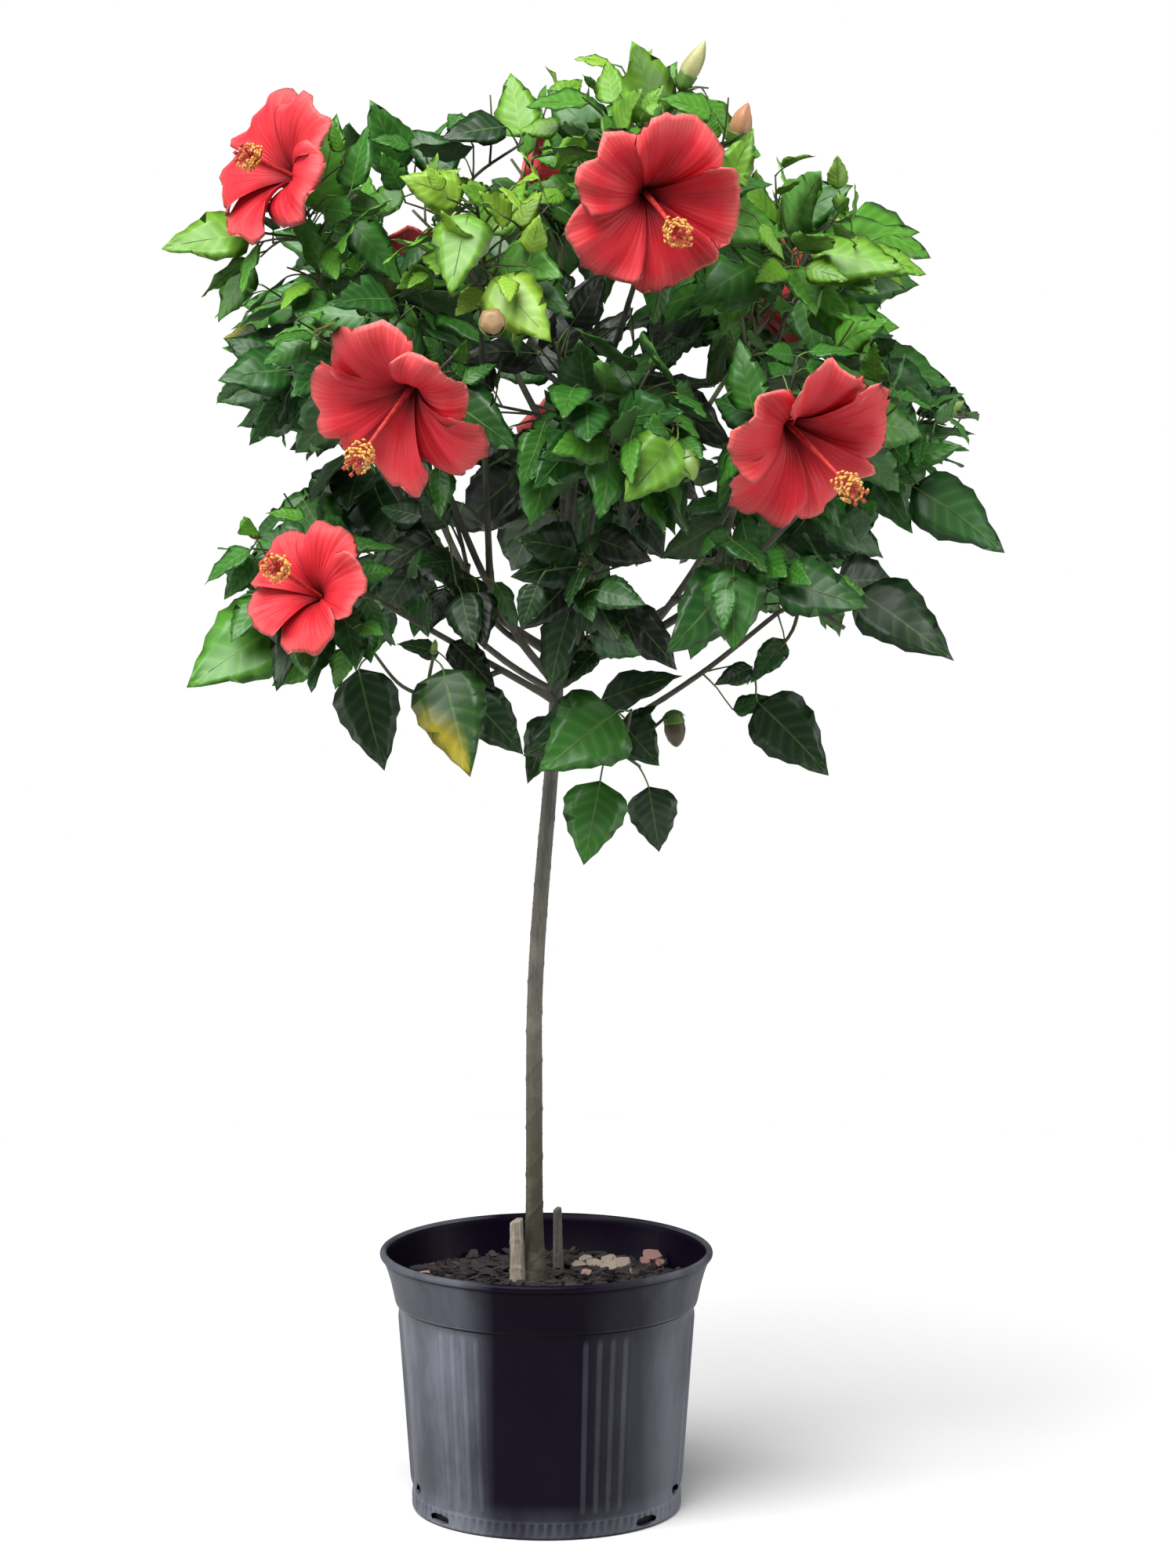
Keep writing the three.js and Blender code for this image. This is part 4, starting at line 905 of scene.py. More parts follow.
def make_stub(name):
    """A tapering tube, its top rings tipped by a slant of a third, then turned inwards."""
    foot, top, radii, slot = STUBS[name]
    foot, top = np.array([*foot, SOIL_LEVEL - 3.0]), np.array(top, float)
    share = np.linspace(0, 1, STUB_RINGS)[:, None]
    line = foot + (top - foot) * share - UP * 3 * share**8
    width = radii[0] + (radii[1] - radii[0]) * share[:, 0] ** 0.6
    relief = 1 + 1.3 * bark_relief(full_turn(STUB_SIDES)[None], line[:, 2:] * 1.7, len(name))
    points = tube(line, width[:, None] * relief, STUB_SIDES)[0]
    body = points[:-2].reshape(STUB_RINGS, STUB_SIDES, 3)
    body[..., 2] += 0.35 * (body[..., 0] - top[0]) * share**10
    inner = [body[-1] + (top - body[-1]) * inset - UP * drop for inset, drop in STUB_INSETS]
    skin = np.concatenate([body.reshape(-1, 3), *inner, foot[None], (inner[-1].mean(0) - UP)[None]])
    faces = closed_faces(STUB_RINGS + len(STUB_INSETS), STUB_SIDES)
    return add_piece(name + "_bark", skin, faces, replaces=[name])


stub_front = make_stub("cut_back_stem_front")
stub_back = make_stub("cut_back_stem_back")

# %% [markdown]
# ## Twigs and leaf stalks
#
# Twigs are thin tubes, brown and green in patches, that grow thinner towards their tips.
# Leaf stalks are green and run on under the blade as its midrib, which is what holds a
# real leaf out flat.

# %% Twigs
def make_twigs():
    """A tube for each stem, shoot and fine twig, with radii that taper towards the tip."""
    tubes = []
    for mass in CROWN:
        tubes.append(tube(catmull(mass.stem, 3), np.linspace(mass.stem_radius, 1.9, 16), 7))
        for points in mass.shoots:
            tubes.append(tube(catmull(points, 5), np.linspace(1.9, 1.25, 11), 6))
        for points in mass.twigs:
            tubes.append(tube(catmull(points, 3), np.linspace(1.15, 0.75, 7), 5))
    points, faces = joined_tubes(tubes)
    return add_piece("twigs", points, faces)


def make_stalks():
    """From the twig to the foot of the blade, then three points along under the midrib."""
    tubes = []
    for leaf in LEAVES:
        under = leaf_points(leaf, [0.2, 0.5, 0.8], [0, 0, 0]) - leaf["face"] * 0.5
        start, base = leaf["from"], leaf["base"]
        bend = (start + base) / 2 + UP * 0.06 * np.linalg.norm(base - start)
        line = np.vstack([start, bend, base, under])
        width = np.array([1.15, 0.85, 0.8, 0.6, 0.42, 0.2]) * (0.6 + 0.4 * leaf["length"] / 90)
        tubes.append(tube(catmull(line, 2), np.interp(np.linspace(0, 5, 11), np.arange(6), width), 4))
    points, faces = joined_tubes(tubes)
    return add_piece("leaf_stalks", points, faces)


twigs = make_twigs()
stalks = make_stalks()

# %% [markdown]
# ## Leaves
#
# The real leaf is a pointed oval with a round foot and a toothed edge. It folds a little
# along the midrib, its edge waves, and its tip bends back. Each is a closed skin: ten rings
# of six points, five on top and one under the midrib, drawn to a point at both ends. So
# few faces are enough, because veins and quilting are left to the material.
#
# Colour goes by place: young leaves are lime, old ones deep green. Leaves inside the crown
# are darker still as painted shade, and the lime of the masses high up and in front is partly
# painted light. The UV map has eight columns, one for each shade, and two rows, for upper
# side and underside. Each leaf lies in the column of its shade.

# %% Leaf shades and shapes
SHADES = 8
STATIONS = 10
ACROSS = np.array([-1, -0.55, 0, 0.55, 1, 0])
RING = 6
# The shades of the outline's leaves: 0 is lime, 6 is the deepest green and 7 is worn.
OUTLINE_SHADES = {
    "top": (1, 5), "crest_left": (5, 3), "upper_left": (1,),
    "upper_right": (1, 2, 3), "front_top": (0, 1), "left": (4,),
    "centre": (1,), "right": (4, 3), "left_low": (2,),
    "right_low": (3, 4), "right_outer": (5, 5),
    "skirt_left": (5, 7, 5), "skirt_right": (3, 5, 3, 5),
}
# How broad the outline's leaves are: 1.2, apart from these masses.
OUTLINE_BROAD = {
    "skirt_right": 1.3, "right_outer": 1.05,
    "left_low": 1.1, "skirt_left": 1.12,
}


def leaf_shade(leaf, draw):
    """Lime where the mass's lime share is high, which is youth and also painted light on the
    masses high up and in front, and where the leaf is near its shoot's tip; deep where it is
    old or low, and darker as painted shade the nearer it lies to the crown's middle; a few
    leaves are worn."""
    # The depth term is painted shade: a leaf near the crown's middle gets a darker colour.
    depth = 1 - min(1, np.linalg.norm((leaf["base"] - CROWN_MIDDLE) * [1, 1, 0.9]) / 260)
    tone = (1 - leaf["youth"]) * 4.2 + 1.3 * leaf["age"] + 3.0 * depth + 1.5 * (draw() - 0.5)
    worn = draw() < 0.004
    grown = 7 if worn else int(np.clip(round(tone), 0, 6))
    return leaf.get("shade", grown)


for mass in CROWN:
    for leaf, shade in zip(mass.outline, OUTLINE_SHADES.get(mass.name, ())):
        leaf["shade"], leaf["broad"] = shade, OUTLINE_BROAD.get(mass.name, 1.2)


def half_width(share):
    """0.31 times the sine of pi times the share to the power 0.6, to the power 0.85, drawn
    in towards the tip by 0.3 of the share cubed: a round foot and a drawn-out point."""
    return 0.31 * np.sin(np.pi * share**0.6) ** 0.85 * (1 - 0.3 * share**3)


def make_leaves(leaves, name, replaces):
    """All leaves at once, as arrays [leaf, station, ring point]. Across is a distance to
    the side, and lift one along the face: fold, droop, wave, bend and twist are added."""
    draw = seeded(907)
    shade = np.array([leaf_shade(leaf, draw) for leaf in leaves])
    chance = np.array([[draw() for _ in range(6)] for _ in leaves])[:, None, None, :]
    keys = ("base", "way", "face")
    field = {key: np.array([leaf[key] for leaf in leaves])[:, None, None] for key in keys}
    length = np.array([leaf["length"] for leaf in leaves])[:, None, None]
    side = np.cross(field["way"], field["face"])

    share = (np.arange(1, STATIONS + 1) / (STATIONS + 1))[None, :, None] * np.ones((1, 1, RING))
    across = ACROSS[None, None] * np.ones_like(share)
    tooth = np.where(np.arange(STATIONS) % 2 == 0, 1.045, 0.975)[None, :, None]
    edge = np.abs(across) == 1
    broad = np.array([leaf.get("broad", 1.0) for leaf in leaves])[:, None, None]
    wide = half_width(share) * (0.88 + 0.24 * chance[..., 0]) * broad
    wide = wide * np.where(edge, np.where(share > 0.25, tooth, 1), 1)
    fold = (0.1 + 0.35 * chance[..., 1]) * np.abs(across) * wide
    droop = -(0.1 + 0.3 * chance[..., 2]) * across**2 * wide
    wave = 0.03 * across**2 * np.sin(2 * np.pi * (2.4 * share + chance[..., 3]) + 2 * np.sign(across))
    bend = -(LEAF_ARCH + 0.14 * (chance[..., 4] - 0.35))
    twist = 0.5 * (chance[..., 5] - 0.5) * share * across * wide
    lift = fold + droop + wave + bend * share**2 + twist
    lift = lift - np.where(np.arange(RING) == RING - 1, 0.011, 0)[None, None]
    shift = np.where(edge, 0.012, 0) * np.where(tooth > 1, 1, 0)

    def place(share, across_wide, lift):
        """Base plus length times way, side and face by their shares."""
        along_way = field["way"] * share[..., None] + side * across_wide[..., None]
        return field["base"] + length[..., None] * (along_way + field["face"] * lift[..., None])

    body = place(share + shift, across * wide, lift).reshape(len(leaves), -1, 3)
    one = np.ones((len(leaves), 1, 1))
    foot, tip = place(0 * one, 0 * one, 0 * one)[:, 0], place(one, 0 * one, bend)[:, 0]
    points = np.concatenate([body, foot, tip], 1)

    quads, caps = closed_faces(STATIONS, RING)
    above = np.arange(RING) < RING - 2
    share_of = np.append(np.repeat(share[0, :, 0], RING), [0, 1])
    across_of = np.append(np.tile(ACROSS, STATIONS), [0, 0])

    def corner_uv(faces, upper):
        """Across in the column of the shade, along in the row of the side."""
        x = (shade[:, None, None] + 0.5 + 0.46 * across_of[faces][None]) / SHADES
        y = (upper[:, None] + 0.04 + 0.92 * share_of[faces]) / 2
        return np.stack([x, np.broadcast_to(y, x.shape)], -1)

    count = len(leaves)
    every = points.shape[1]
    return add_piece(
        name, points.reshape(-1, 3), [copies(count, every, quads), copies(count, every, caps)],
        [corner_uv(quads, np.tile(above, STATIONS - 1)), corner_uv(caps, np.tile(above, 2))],
        replaces=replaces,
    )


leaves = make_leaves(LEAVES, "leaves", [name + "_foliage" for name in MASSES])

# %% [markdown]
# ## Blooms
#
# A hibiscus bloom has five broad petals that overlap like a pinwheel round a deep red
# throat. A long column stands out of it, with a brush of golden anthers on its outer part
# and five red pads at its end. Behind sit a green cup of five sepals and a ring of thin
# bracts. Each petal is a fan in polar form: reach, rise and angle are functions of the
# share along the petal and the place across it.

# %% Petals
PETAL_ROWS, PETAL_COLUMNS = 19, 17
PETAL_THICK = 0.5


def sheet(top, normal, thick):
    """A closed skin on a grid [row, column] of points: the grid itself, and inside its rim
    the same points moved back along the normals. Returns points, top and bottom faces."""
    rows, columns = top.shape[:2]
    back = (top - normal * thick)[1:-1, 1:-1].reshape(-1, 3)
    front_index = np.arange(rows * columns).reshape(rows, columns)
    back_index = front_index.copy()
    back_index[1:-1, 1:-1] = rows * columns + np.arange(len(back)).reshape(rows - 2, columns - 2)
    cells = grid_faces(rows, columns)
    return np.vstack([top.reshape(-1, 3), back]), cells, back_index.ravel()[cells][:, ::-1]


def sheet_uv(cells, upper):
    """Across by the column, along by the row, in the upper or the lower half of the map."""
    row, column = np.linspace(0, 1, PETAL_ROWS), np.linspace(0, 1, PETAL_COLUMNS)
    y, x = np.meshgrid((upper + 0.04 + 0.92 * row) / 2, 0.04 + 0.92 * column, indexing="ij")
    return np.stack([x, y], -1).reshape(-1, 2)[cells]


# One bloom opens a little wider than its solid and turns another petal to the top.
DRESSED = {BLOOMS["upper_left"]: ((-219, -78, 1130), (-0.72, -0.58, 0.38), 73, -20)}


def bloom_frame(bloom):
    """The throat, the facing direction, two directions across it, radius and turn."""
    throat, facing, radius, turn = DRESSED.get(bloom, bloom)
    facing = unit(facing)
    first, second = square_to(facing)
    return np.array(throat, float), facing, first, second, radius, math.radians(turn)


def petal(bloom, k, draw):
    """Reach R (0.04 + 0.96 s^1.35), less 0.28 of it at the sides; rise from the funnel's foot
    at -0.42 R; half angle from 46 down to 43 degrees; ruffles that grow towards the rim."""
    throat, facing, first, second, radius, turn = bloom_frame(bloom)
    s, v = np.meshgrid(np.linspace(0, 1, PETAL_ROWS), np.linspace(-1, 1, PETAL_COLUMNS), indexing="ij")
    phase, size, curl, fold = draw() * 2 * np.pi, 0.9 + 0.13 * draw(), draw(), draw() - 0.5
    lobe = 1 - 0.28 * np.abs(v) ** 3 * s**1.3 - 0.05 * np.exp(-((v - fold) / 0.16) ** 2) * s**8
    ragged = 1 + 0.03 * np.sin(9 * v + phase) * s**6 + 0.015 * np.sin(23 * v + 2 * phase) * s**8
    reach = radius * size * (0.04 + 0.96 * s**1.35) * lobe * ragged
    angle = turn + np.radians(36 + 72 * k + (46 - 3 * s) * v)
    ruffle = s**2.4 * (np.sin(4.6 * v + 3 * s + phase) + 0.45 * np.sin(12 * v - 2 * s + phase))
    crease = -0.06 * np.exp(-((v - 0.5 * fold) / 0.22) ** 2) * s * (1.2 - s)
    cup = 0.16 * s**2 - (0.08 + 0.16 * curl) * s**6 + 0.1 * v**2 * s**2
    rise = radius * (-FUNNEL * (1 - s) ** 2.6 + cup + crease + 0.06 * v * s**0.6 + 0.07 * ruffle)
    out = first * np.cos(angle)[..., None] + second * np.sin(angle)[..., None]
    top = throat + out * reach[..., None] + facing * rise[..., None]
    normal = np.cross(np.gradient(top, axis=1), np.gradient(top, axis=0))
    return top, normal / np.maximum(np.linalg.norm(normal, axis=-1, keepdims=True), 1e-9)


def make_petals():
    """Five petals for each bloom. A sheet that came out facing backwards is turned over."""
    draw = seeded(5)
    parts, fronts, backs, total = [], [], [], 0
    for bloom in BLOOMS.values():
        for k in range(5):
            top, normal = petal(bloom, k, draw)
            if np.sum(normal[9, 8] * unit(bloom[1])) < 0:
                top, normal = top[:, ::-1], -normal[:, ::-1]
            points, front, back = sheet(top, normal, PETAL_THICK)
            parts.append(points)
            fronts.append(front[:, ::-1] + total)
            backs.append(back[:, ::-1] + total)
            total += len(points)
    cells = grid_faces(PETAL_ROWS, PETAL_COLUMNS)
    front_uv = np.tile(sheet_uv(cells, upper=1)[:, ::-1], (len(parts), 1, 1))
    back_uv = np.tile(sheet_uv(cells, upper=0), (len(parts), 1, 1))
    faces = [np.concatenate(fronts), np.concatenate(backs)]
    return add_piece("petals", np.concatenate(parts), faces, [front_uv, back_uv])


petals = make_petals()

# %% [markdown]
# ## Stamens and pads
#
# The column leaves the throat's foot, sags a little under its own weight and carries some
# ninety short threads on its outer part, each with a small golden anther. Five longer
# threads at its end carry red pads. The column is slender, so the brush reads as a
# loose golden cylinder from far off.

# %% Stamens
GRAIN_CORNERS = np.vstack([np.eye(3)[:2], -np.eye(3)[:2], UP, -UP])
GRAIN_FACES = np.array([
    [0, 1, 4], [1, 2, 4], [2, 3, 4], [3, 0, 4], [1, 0, 5], [2, 1, 5], [3, 2, 5], [0, 3, 5],
])
THREADS = 90
COLUMN_SHARES = {"upper_left": 0.36}  # this bloom's column is still short


def column_line(bloom, share, length):
    """In radii of the bloom: from 0.38 behind the throat to 0.92 times the length ahead of
    it, less 0.02 of the share squared downwards."""
    throat, facing, _, _, radius, _ = bloom_frame(bloom)
    share = np.asarray(share, float)[..., None]
    reach = -0.38 + (0.38 + 0.92 * length) * share
    return throat + facing * radius * reach - UP * radius * 0.02 * share**2


def make_stamens():
    """Returns one piece for the columns and threads, and one for anthers and pads."""
    draw = seeded(9)
    tubes, grains = [], []
    for name, bloom in BLOOMS.items():
        _, facing, first, second, _, _ = bloom_frame(bloom)
        length = COLUMN_SHARES.get(name, 1.0)
        line = column_line(bloom, np.linspace(0, 1, 22), length)
        tubes.append(tube(line, np.interp(np.linspace(0, 1, 22), [0, 0.3, 1], [2.6, 2.1, 1.3]), 10))
        for k in range(THREADS):
            share = 0.8 + 0.19 * (k + draw()) / THREADS
            angle = 2 * np.pi * ((k * 0.618) % 1) + 0.3 * draw()
            ring = first * np.cos(angle) + second * np.sin(angle)
            start = column_line(bloom, share, length)
            way = unit(ring + facing * (0.25 + 0.5 * draw()))
            end = start + way * (7.5 + 5 * draw())
            thread = np.array([start, (start + end) / 2 - facing * 0.6, end])
            tubes.append(tube(thread, [0.32, 0.28, 0.25], 3))
            turned_way = unit(np.cross(way, facing + 0.3 * ring))
            axes = np.stack([turned_way * 2.3, np.cross(way, turned_way) * 1.5, way * 1.3])
            grains.append((end + GRAIN_CORNERS @ axes, 0))
        for k in range(5):
            angle = 2 * np.pi * k / 5
            ring = first * np.cos(angle) + second * np.sin(angle)
            start = column_line(bloom, 0.98, length)
            end = start + facing * 11 + ring * 6.5
            tubes.append(tube(np.array([start, (start + end) / 2 + ring, end]), [0.6, 0.5, 0.45], 4))
            grains.append((end + GRAIN_CORNERS * 2.3, 1))
    points, faces = joined_tubes(tubes)
    columns = add_piece("stamen_columns", points, faces)
    kind = np.array([kind for _, kind in grains])
    corners = GRAIN_CORNERS[GRAIN_FACES]
    u = (kind[:, None, None] + 0.5 + 0.3 * corners[..., 0]) / 2
    corner_uv = np.stack([u, np.broadcast_to(0.5 + 0.4 * corners[..., 2], u.shape)], -1)
    points = np.concatenate([grain for grain, _ in grains])
    faces = copies(len(grains), len(GRAIN_CORNERS), GRAIN_FACES)
    return columns, add_piece("anthers", points, [faces], [corner_uv])


stamen_columns, anthers = make_stamens()

# %% [markdown]
# ## Green cups, buds and capsules
#
# Each bloom sits in a cup of five pointed sepals with a ring of thin bracts below it. A
# bud is the same cup round furled petals: an egg drawn to a point whose section is a
# twisted clover. A spent bloom is a limp roll, and a seed capsule is a dry brown egg.
# All of them are turned profiles, and the UV column says which colour a profile takes.

# %% Cups and buds
BUD_COLORS = ("pale", "blush", "spent", "lime", "capsule", "cup")  # one column of the map each
TURNED_ROWS, TURNED_SIDES = 14, 15
# Profiles, as shares of length and radius: the cup, and what stands in it.
CUP = [
    (0, 0.3), (0.12, 0.75), (0.3, 1), (0.55, 1.04), (0.8, 1.12), (1, 1.18), (1, 1.05),
    (0.7, 0.92), (0.4, 0.8),
]
BUD = [(0, 0.45), (0.2, 0.85), (0.45, 1), (0.7, 0.78), (0.9, 0.35), (1, 0.05)]
SPENT = [(0, 0.5), (0.3, 0.8), (0.55, 0.7), (0.8, 0.95), (1, 0.6), (1, 0.1)]
CAPSULE = [(0, 0.4), (0.25, 0.9), (0.55, 1), (0.8, 0.75), (0.95, 0.35), (1, 0.05)]
BRACTS = 7


def turned(base, way, profile, color, wave=lambda share, angle: 0 * share * angle):
    """A closed profile turned about a direction: at share s the radius is the profile's,
    times one plus the wave. Returns points, faces and the UV column of its colour."""
    first, second = square_to(way)
    share = np.linspace(0, 1, TURNED_ROWS)
    knots = np.linspace(0, 1, len(profile))
    rise, radius = (np.interp(share, knots, values) for values in zip(*profile))
    angle = full_turn(TURNED_SIDES)
    reach = radius[:, None] * (1 + wave(share[:, None], angle[None]))
    ring = first * np.cos(angle)[:, None] + second * np.sin(angle)[:, None]
    middle = base + way * rise[:, None]
    skin = (middle[:, None] + ring[None] * reach[..., None]).reshape(-1, 3)
    points = np.vstack([skin, middle[:1] - way * 0.1, middle[-1:] + way * 0.1])
    return points, *closed_faces(TURNED_ROWS, TURNED_SIDES), color


def teeth(share, angle):
    """Five pointed lobes that open out over the last two fifths."""
    return 0.16 * np.clip(share - 0.6, 0, 1) * np.cos(5 * angle)


def furled(share, angle):
    """A clover of five that winds a fifth of a turn towards the tip."""
    return 0.1 * np.cos(5 * angle + 6 * share)


def cup_parts(base, way, length, radius):
    """Sepals: an open cup with a lobed rim that turns in on itself; bracts: thin spikes."""
    sizes = [(rise * length, share * radius) for rise, share in CUP]
    parts = [turned(base, way, sizes, "cup", teeth)]
    first, second = square_to(way)
    for k in range(BRACTS):
        angle = 2 * np.pi * k / BRACTS
        ring = first * np.cos(angle) + second * np.sin(angle)
        spike = unit(way * 0.75 + ring)
        foot = base + ring * radius * 0.45 + way * 1.2
        spike_profile = [(0, 0.7), (length * 0.35, 0.9), (length * 0.75, 0.15)]
        parts.append(turned(foot, spike, spike_profile, "cup"))
    return parts


def bud_parts(base, way, length, radius, kind):
    """The furled petals, or the dry capsule, in a cup that covers its lower third."""
    way, base = unit(way), np.array(base, float)
    egg = {"capsule": CAPSULE, "spent": SPENT}.get(kind, BUD)
    sizes = [(rise * length, share * radius) for rise, share in egg]
    body = turned(base, way, sizes, kind, furled if kind != "capsule" else teeth)
    return [body, *cup_parts(base - way, way, length * 0.36, radius * 0.85)]


def make_buds():
    """Cups behind the blooms, the named buds, and a small lime bud on some young shoots."""
    draw = seeded(21)
    parts = []
    for bloom in BLOOMS.values():
        throat, facing, _, _, radius, _ = bloom_frame(bloom)
        parts += cup_parts(throat - facing * 0.5 * radius, facing, 0.2 * radius, 0.105 * radius)
    for base, way, length, radius, kind in BUDS.values():
        parts += bud_parts(base, way, length, radius, kind)
    for mass in CROWN:
        for points in mass.shoots:
            if draw() < 0.55 * mass.youth and mass.name not in BLOOMS:
                way = unit(unit(points[-1] - points[-2]) + UP * 0.5)
                tip = points[-1] + way * 2
                parts += bud_parts(tip, way, 9 + 7 * draw(), 2.4 + 1.2 * draw(), "lime")
    size = TURNED_ROWS * TURNED_SIDES + 2
    count = len(parts)
    row = np.append(np.repeat(np.linspace(0, 1, TURNED_ROWS), TURNED_SIDES), [0, 1])
    round_share = np.linspace(0, 1, TURNED_SIDES, endpoint=False)
    column = np.append(np.tile(round_share, TURNED_ROWS), [0.5, 0.5])
    start = np.array([BUD_COLORS.index(color) for *_, color in parts])

    def corner_uv(faces):
        """Across there and back in the colour's column, along by the ring."""
        x = (start[:, None, None] + 0.1 + 0.8 * np.abs(2 * column[faces][None] - 1)) / len(BUD_COLORS)
        return np.stack([x, np.broadcast_to(0.05 + 0.9 * row[faces], x.shape)], -1)

    points = np.concatenate([skin for skin, *_ in parts])
    _, quads, caps, _ = parts[0]
    faces = [copies(count, size, quads), copies(count, size, caps)]
    return add_piece("buds_and_cups", points, faces, [corner_uv(quads), corner_uv(caps)])


buds = make_buds()

# %% [markdown]
# ## The nursery pot
#
# A nursery pot is blown or moulded in black plastic: a ribbed tapering body, a flared
# collar, a rolled lip, and a foot band with small teeth. The wall is one profile turned
# about the middle, from the underside up the outside, over the lip and down the inside.
# The ribs are radius added by a function of angle and height.

# %% Pot sizes
# The ledge is how far the collar's foot stands out, the roll is the radius of the lip.
POT = {
    "height": 222, "foot": 111.5, "band": 113.5, "band_height": 16, "collar": 124,
    "collar_height": 46, "ledge": 3.6, "rim": 140, "lip": 7, "roll": 3.4, "wall": 2.6, "floor": 4,
}
SHOULDER = POT["height"] - POT["collar_height"]
POT_SIDES = 720
RIB_GROUPS, FIRST_GROUP = 6, 24
RIBS, TEETH = (-8.4, -2.8, 2.8, 8.4), 96  # ribs of a group in degrees, and teeth in all


def body_radius(z):
    """A straight taper from the foot to the shoulder."""
    return POT["foot"] + (POT["collar"] - POT["foot"]) * np.asarray(z, float) / SHOULDER


def rib_relief(degrees, z):
    """Added radius in millimetres: ribs in six groups of four with sunk panels between them,
    and teeth round the foot band. Both fade out where their zone ends."""
    local = (degrees - FIRST_GROUP + 180 / RIB_GROUPS) % (360 / RIB_GROUPS) - 180 / RIB_GROUPS
    ribs = sum(np.exp(-(((local - rib) / 1.15) ** 4)) for rib in RIBS)
    panel = smooth((np.abs(local) - 11.5) / 1.5)
    body = smooth((z - 19) / 6) * smooth((SHOULDER - 3 - z) / 6)
    tooth = smooth(np.cos(np.radians(degrees * TEETH)) * 1.4 + 0.2)
    band = smooth((z - 2) / 2) * smooth((POT["band_height"] - 1.5 - z) / 1.5)
    return (1.5 * ribs - 1.1 * panel) * body + (1.0 * tooth - 0.8) * band


def pot_profile():
    """Radius and height of each ring, from the underside over the lip to the floor inside,
    and how many of the rings are on the outside and so take the ribs."""
    foot, band, collar, rim = (POT[key] for key in ("foot", "band", "collar", "rim"))
    wall, roll, lip = POT["wall"], POT["roll"], POT["height"] - POT["lip"]
    ledge = collar + POT["ledge"]
    outside = [(2, 0), (foot - 6, 0), (foot - 1.2, 0), (foot - 0.3, 0.3), (foot, 1)]
    outside += [(band - 0.6, 1.7), (band, 2.8)]
    outside += [(band, z) for z in (4, 6, 8, 10, 12, 13.5, 15)]
    outside += [(band - 0.8, 16.2), (body_radius(17), 17)]
    outside += [(body_radius(z), z) for z in np.linspace(18.5, SHOULDER - 1, 34)]
    outside += [(collar + 0.6, SHOULDER), (collar + 2.8, SHOULDER + 1.6), (ledge, SHOULDER + 4)]
    share = np.linspace(0, 1, 9)[1:]
    flare = ledge + (rim - roll - collar - POT["ledge"]) * (0.72 * share + 0.28 * share**3)
    outside += list(zip(flare, SHOULDER + 4 + (lip - 2 - SHOULDER - 4) * share))
    turn = np.radians(np.linspace(-90, 90, 9))
    outside += [(rim - 3.2, lip - 0.6)]
    outside += list(zip(rim - roll + roll * np.cos(turn), lip + roll + roll * np.sin(turn)))
    inside = [(rim - 5, POT["height"] - 0.6), (rim - roll - wall, lip), (rim - 5 - wall, lip - 6)]
    inside += [(ledge - wall, SHOULDER + 4), (body_radius(SHOULDER) - wall, SHOULDER - 1)]
    inside += [(body_radius(z) - wall, z) for z in (120, 70, 30, 12, POT["floor"])]
    inside += [(foot - 14, POT["floor"]), (2, POT["floor"])]
    return np.array(outside + inside, float), len(outside)


def lathe(profile, degrees, relief):
    """Rings of radius plus relief at each angle, closed at both ends by a point."""
    radius = profile[:, :1] + relief
    angle = np.radians(degrees)
    height = np.broadcast_to(profile[:, 1:], radius.shape)
    skin = np.stack([radius * np.sin(angle), -radius * np.cos(angle), height], -1)
    ends = [[0, 0, profile[0, 1]], [0, 0, profile[-1, 1]]]
    return np.vstack([skin.reshape(-1, 3), ends]), closed_faces(*radius.shape)


print("pot:", POT["height"], "mm tall,", 2 * POT["rim"], "mm across the rim")

# %% [markdown]
# Water leaves the pot through openings near its foot: four long slots through the foot's
# edge and four smaller holes above the band. A plug is taken out of the wall for each one.
# The cut is made for good, so that the pot's mesh needs no modifier later on.

# %% Pot with drain holes
# Places round the pot in degrees, then height, half width and half height.
DRAIN_SLOTS = ((-52, 48, 132, 228), 7, 13, 4.2)
DRAIN_HOLES = ((-73, 73, 107, 253), 22, 6, 4.5)
PLUG_SIDES, PLUG_ENDS = 20, (96, 122)


def cut(piece, cutter):
    """Takes one mesh out of another for good."""
    modifier = piece.modifiers.new("cut", "BOOLEAN")
    modifier.operation, modifier.solver, modifier.object = "DIFFERENCE", "MANIFOLD", cutter
    bpy.context.view_layer.update()
    solved = piece.evaluated_get(bpy.context.evaluated_depsgraph_get())
    mesh = bpy.data.meshes.new_from_object(solved)
    piece.modifiers.clear()
    old, piece.data = piece.data, mesh
    bpy.data.meshes.remove(old)
    bpy.data.objects.remove(cutter)


def drain_cutters():
    """Oval plugs that reach through the wall, all as one object."""
    turn = full_turn(PLUG_SIDES)
    faces = closed_faces(2, PLUG_SIDES)
    tubes = []
    for places, z, width, height in (DRAIN_SLOTS, DRAIN_HOLES):
        oval_height = UP * np.sin(turn)[:, None] * height
        for angle in np.radians(places):
            out = np.array([np.sin(angle), -np.cos(angle), 0])
            across = np.array([np.cos(angle), np.sin(angle), 0])
            oval = across * np.cos(turn)[:, None] * width + oval_height
            ends = [out * reach + UP * z for reach in PLUG_ENDS]
            tubes.append((np.vstack([ends[0] + oval, ends[1] + oval, *ends]), *faces))
    points, faces = joined_tubes(tubes)
    mesh = bpy.data.meshes.new("cutter")
    mesh.from_pydata((points * MM).tolist(), [], [row for array in faces for row in array.tolist()])
    cutter = bpy.data.objects.new("cutter", mesh)
    link(cutter)
    return cutter


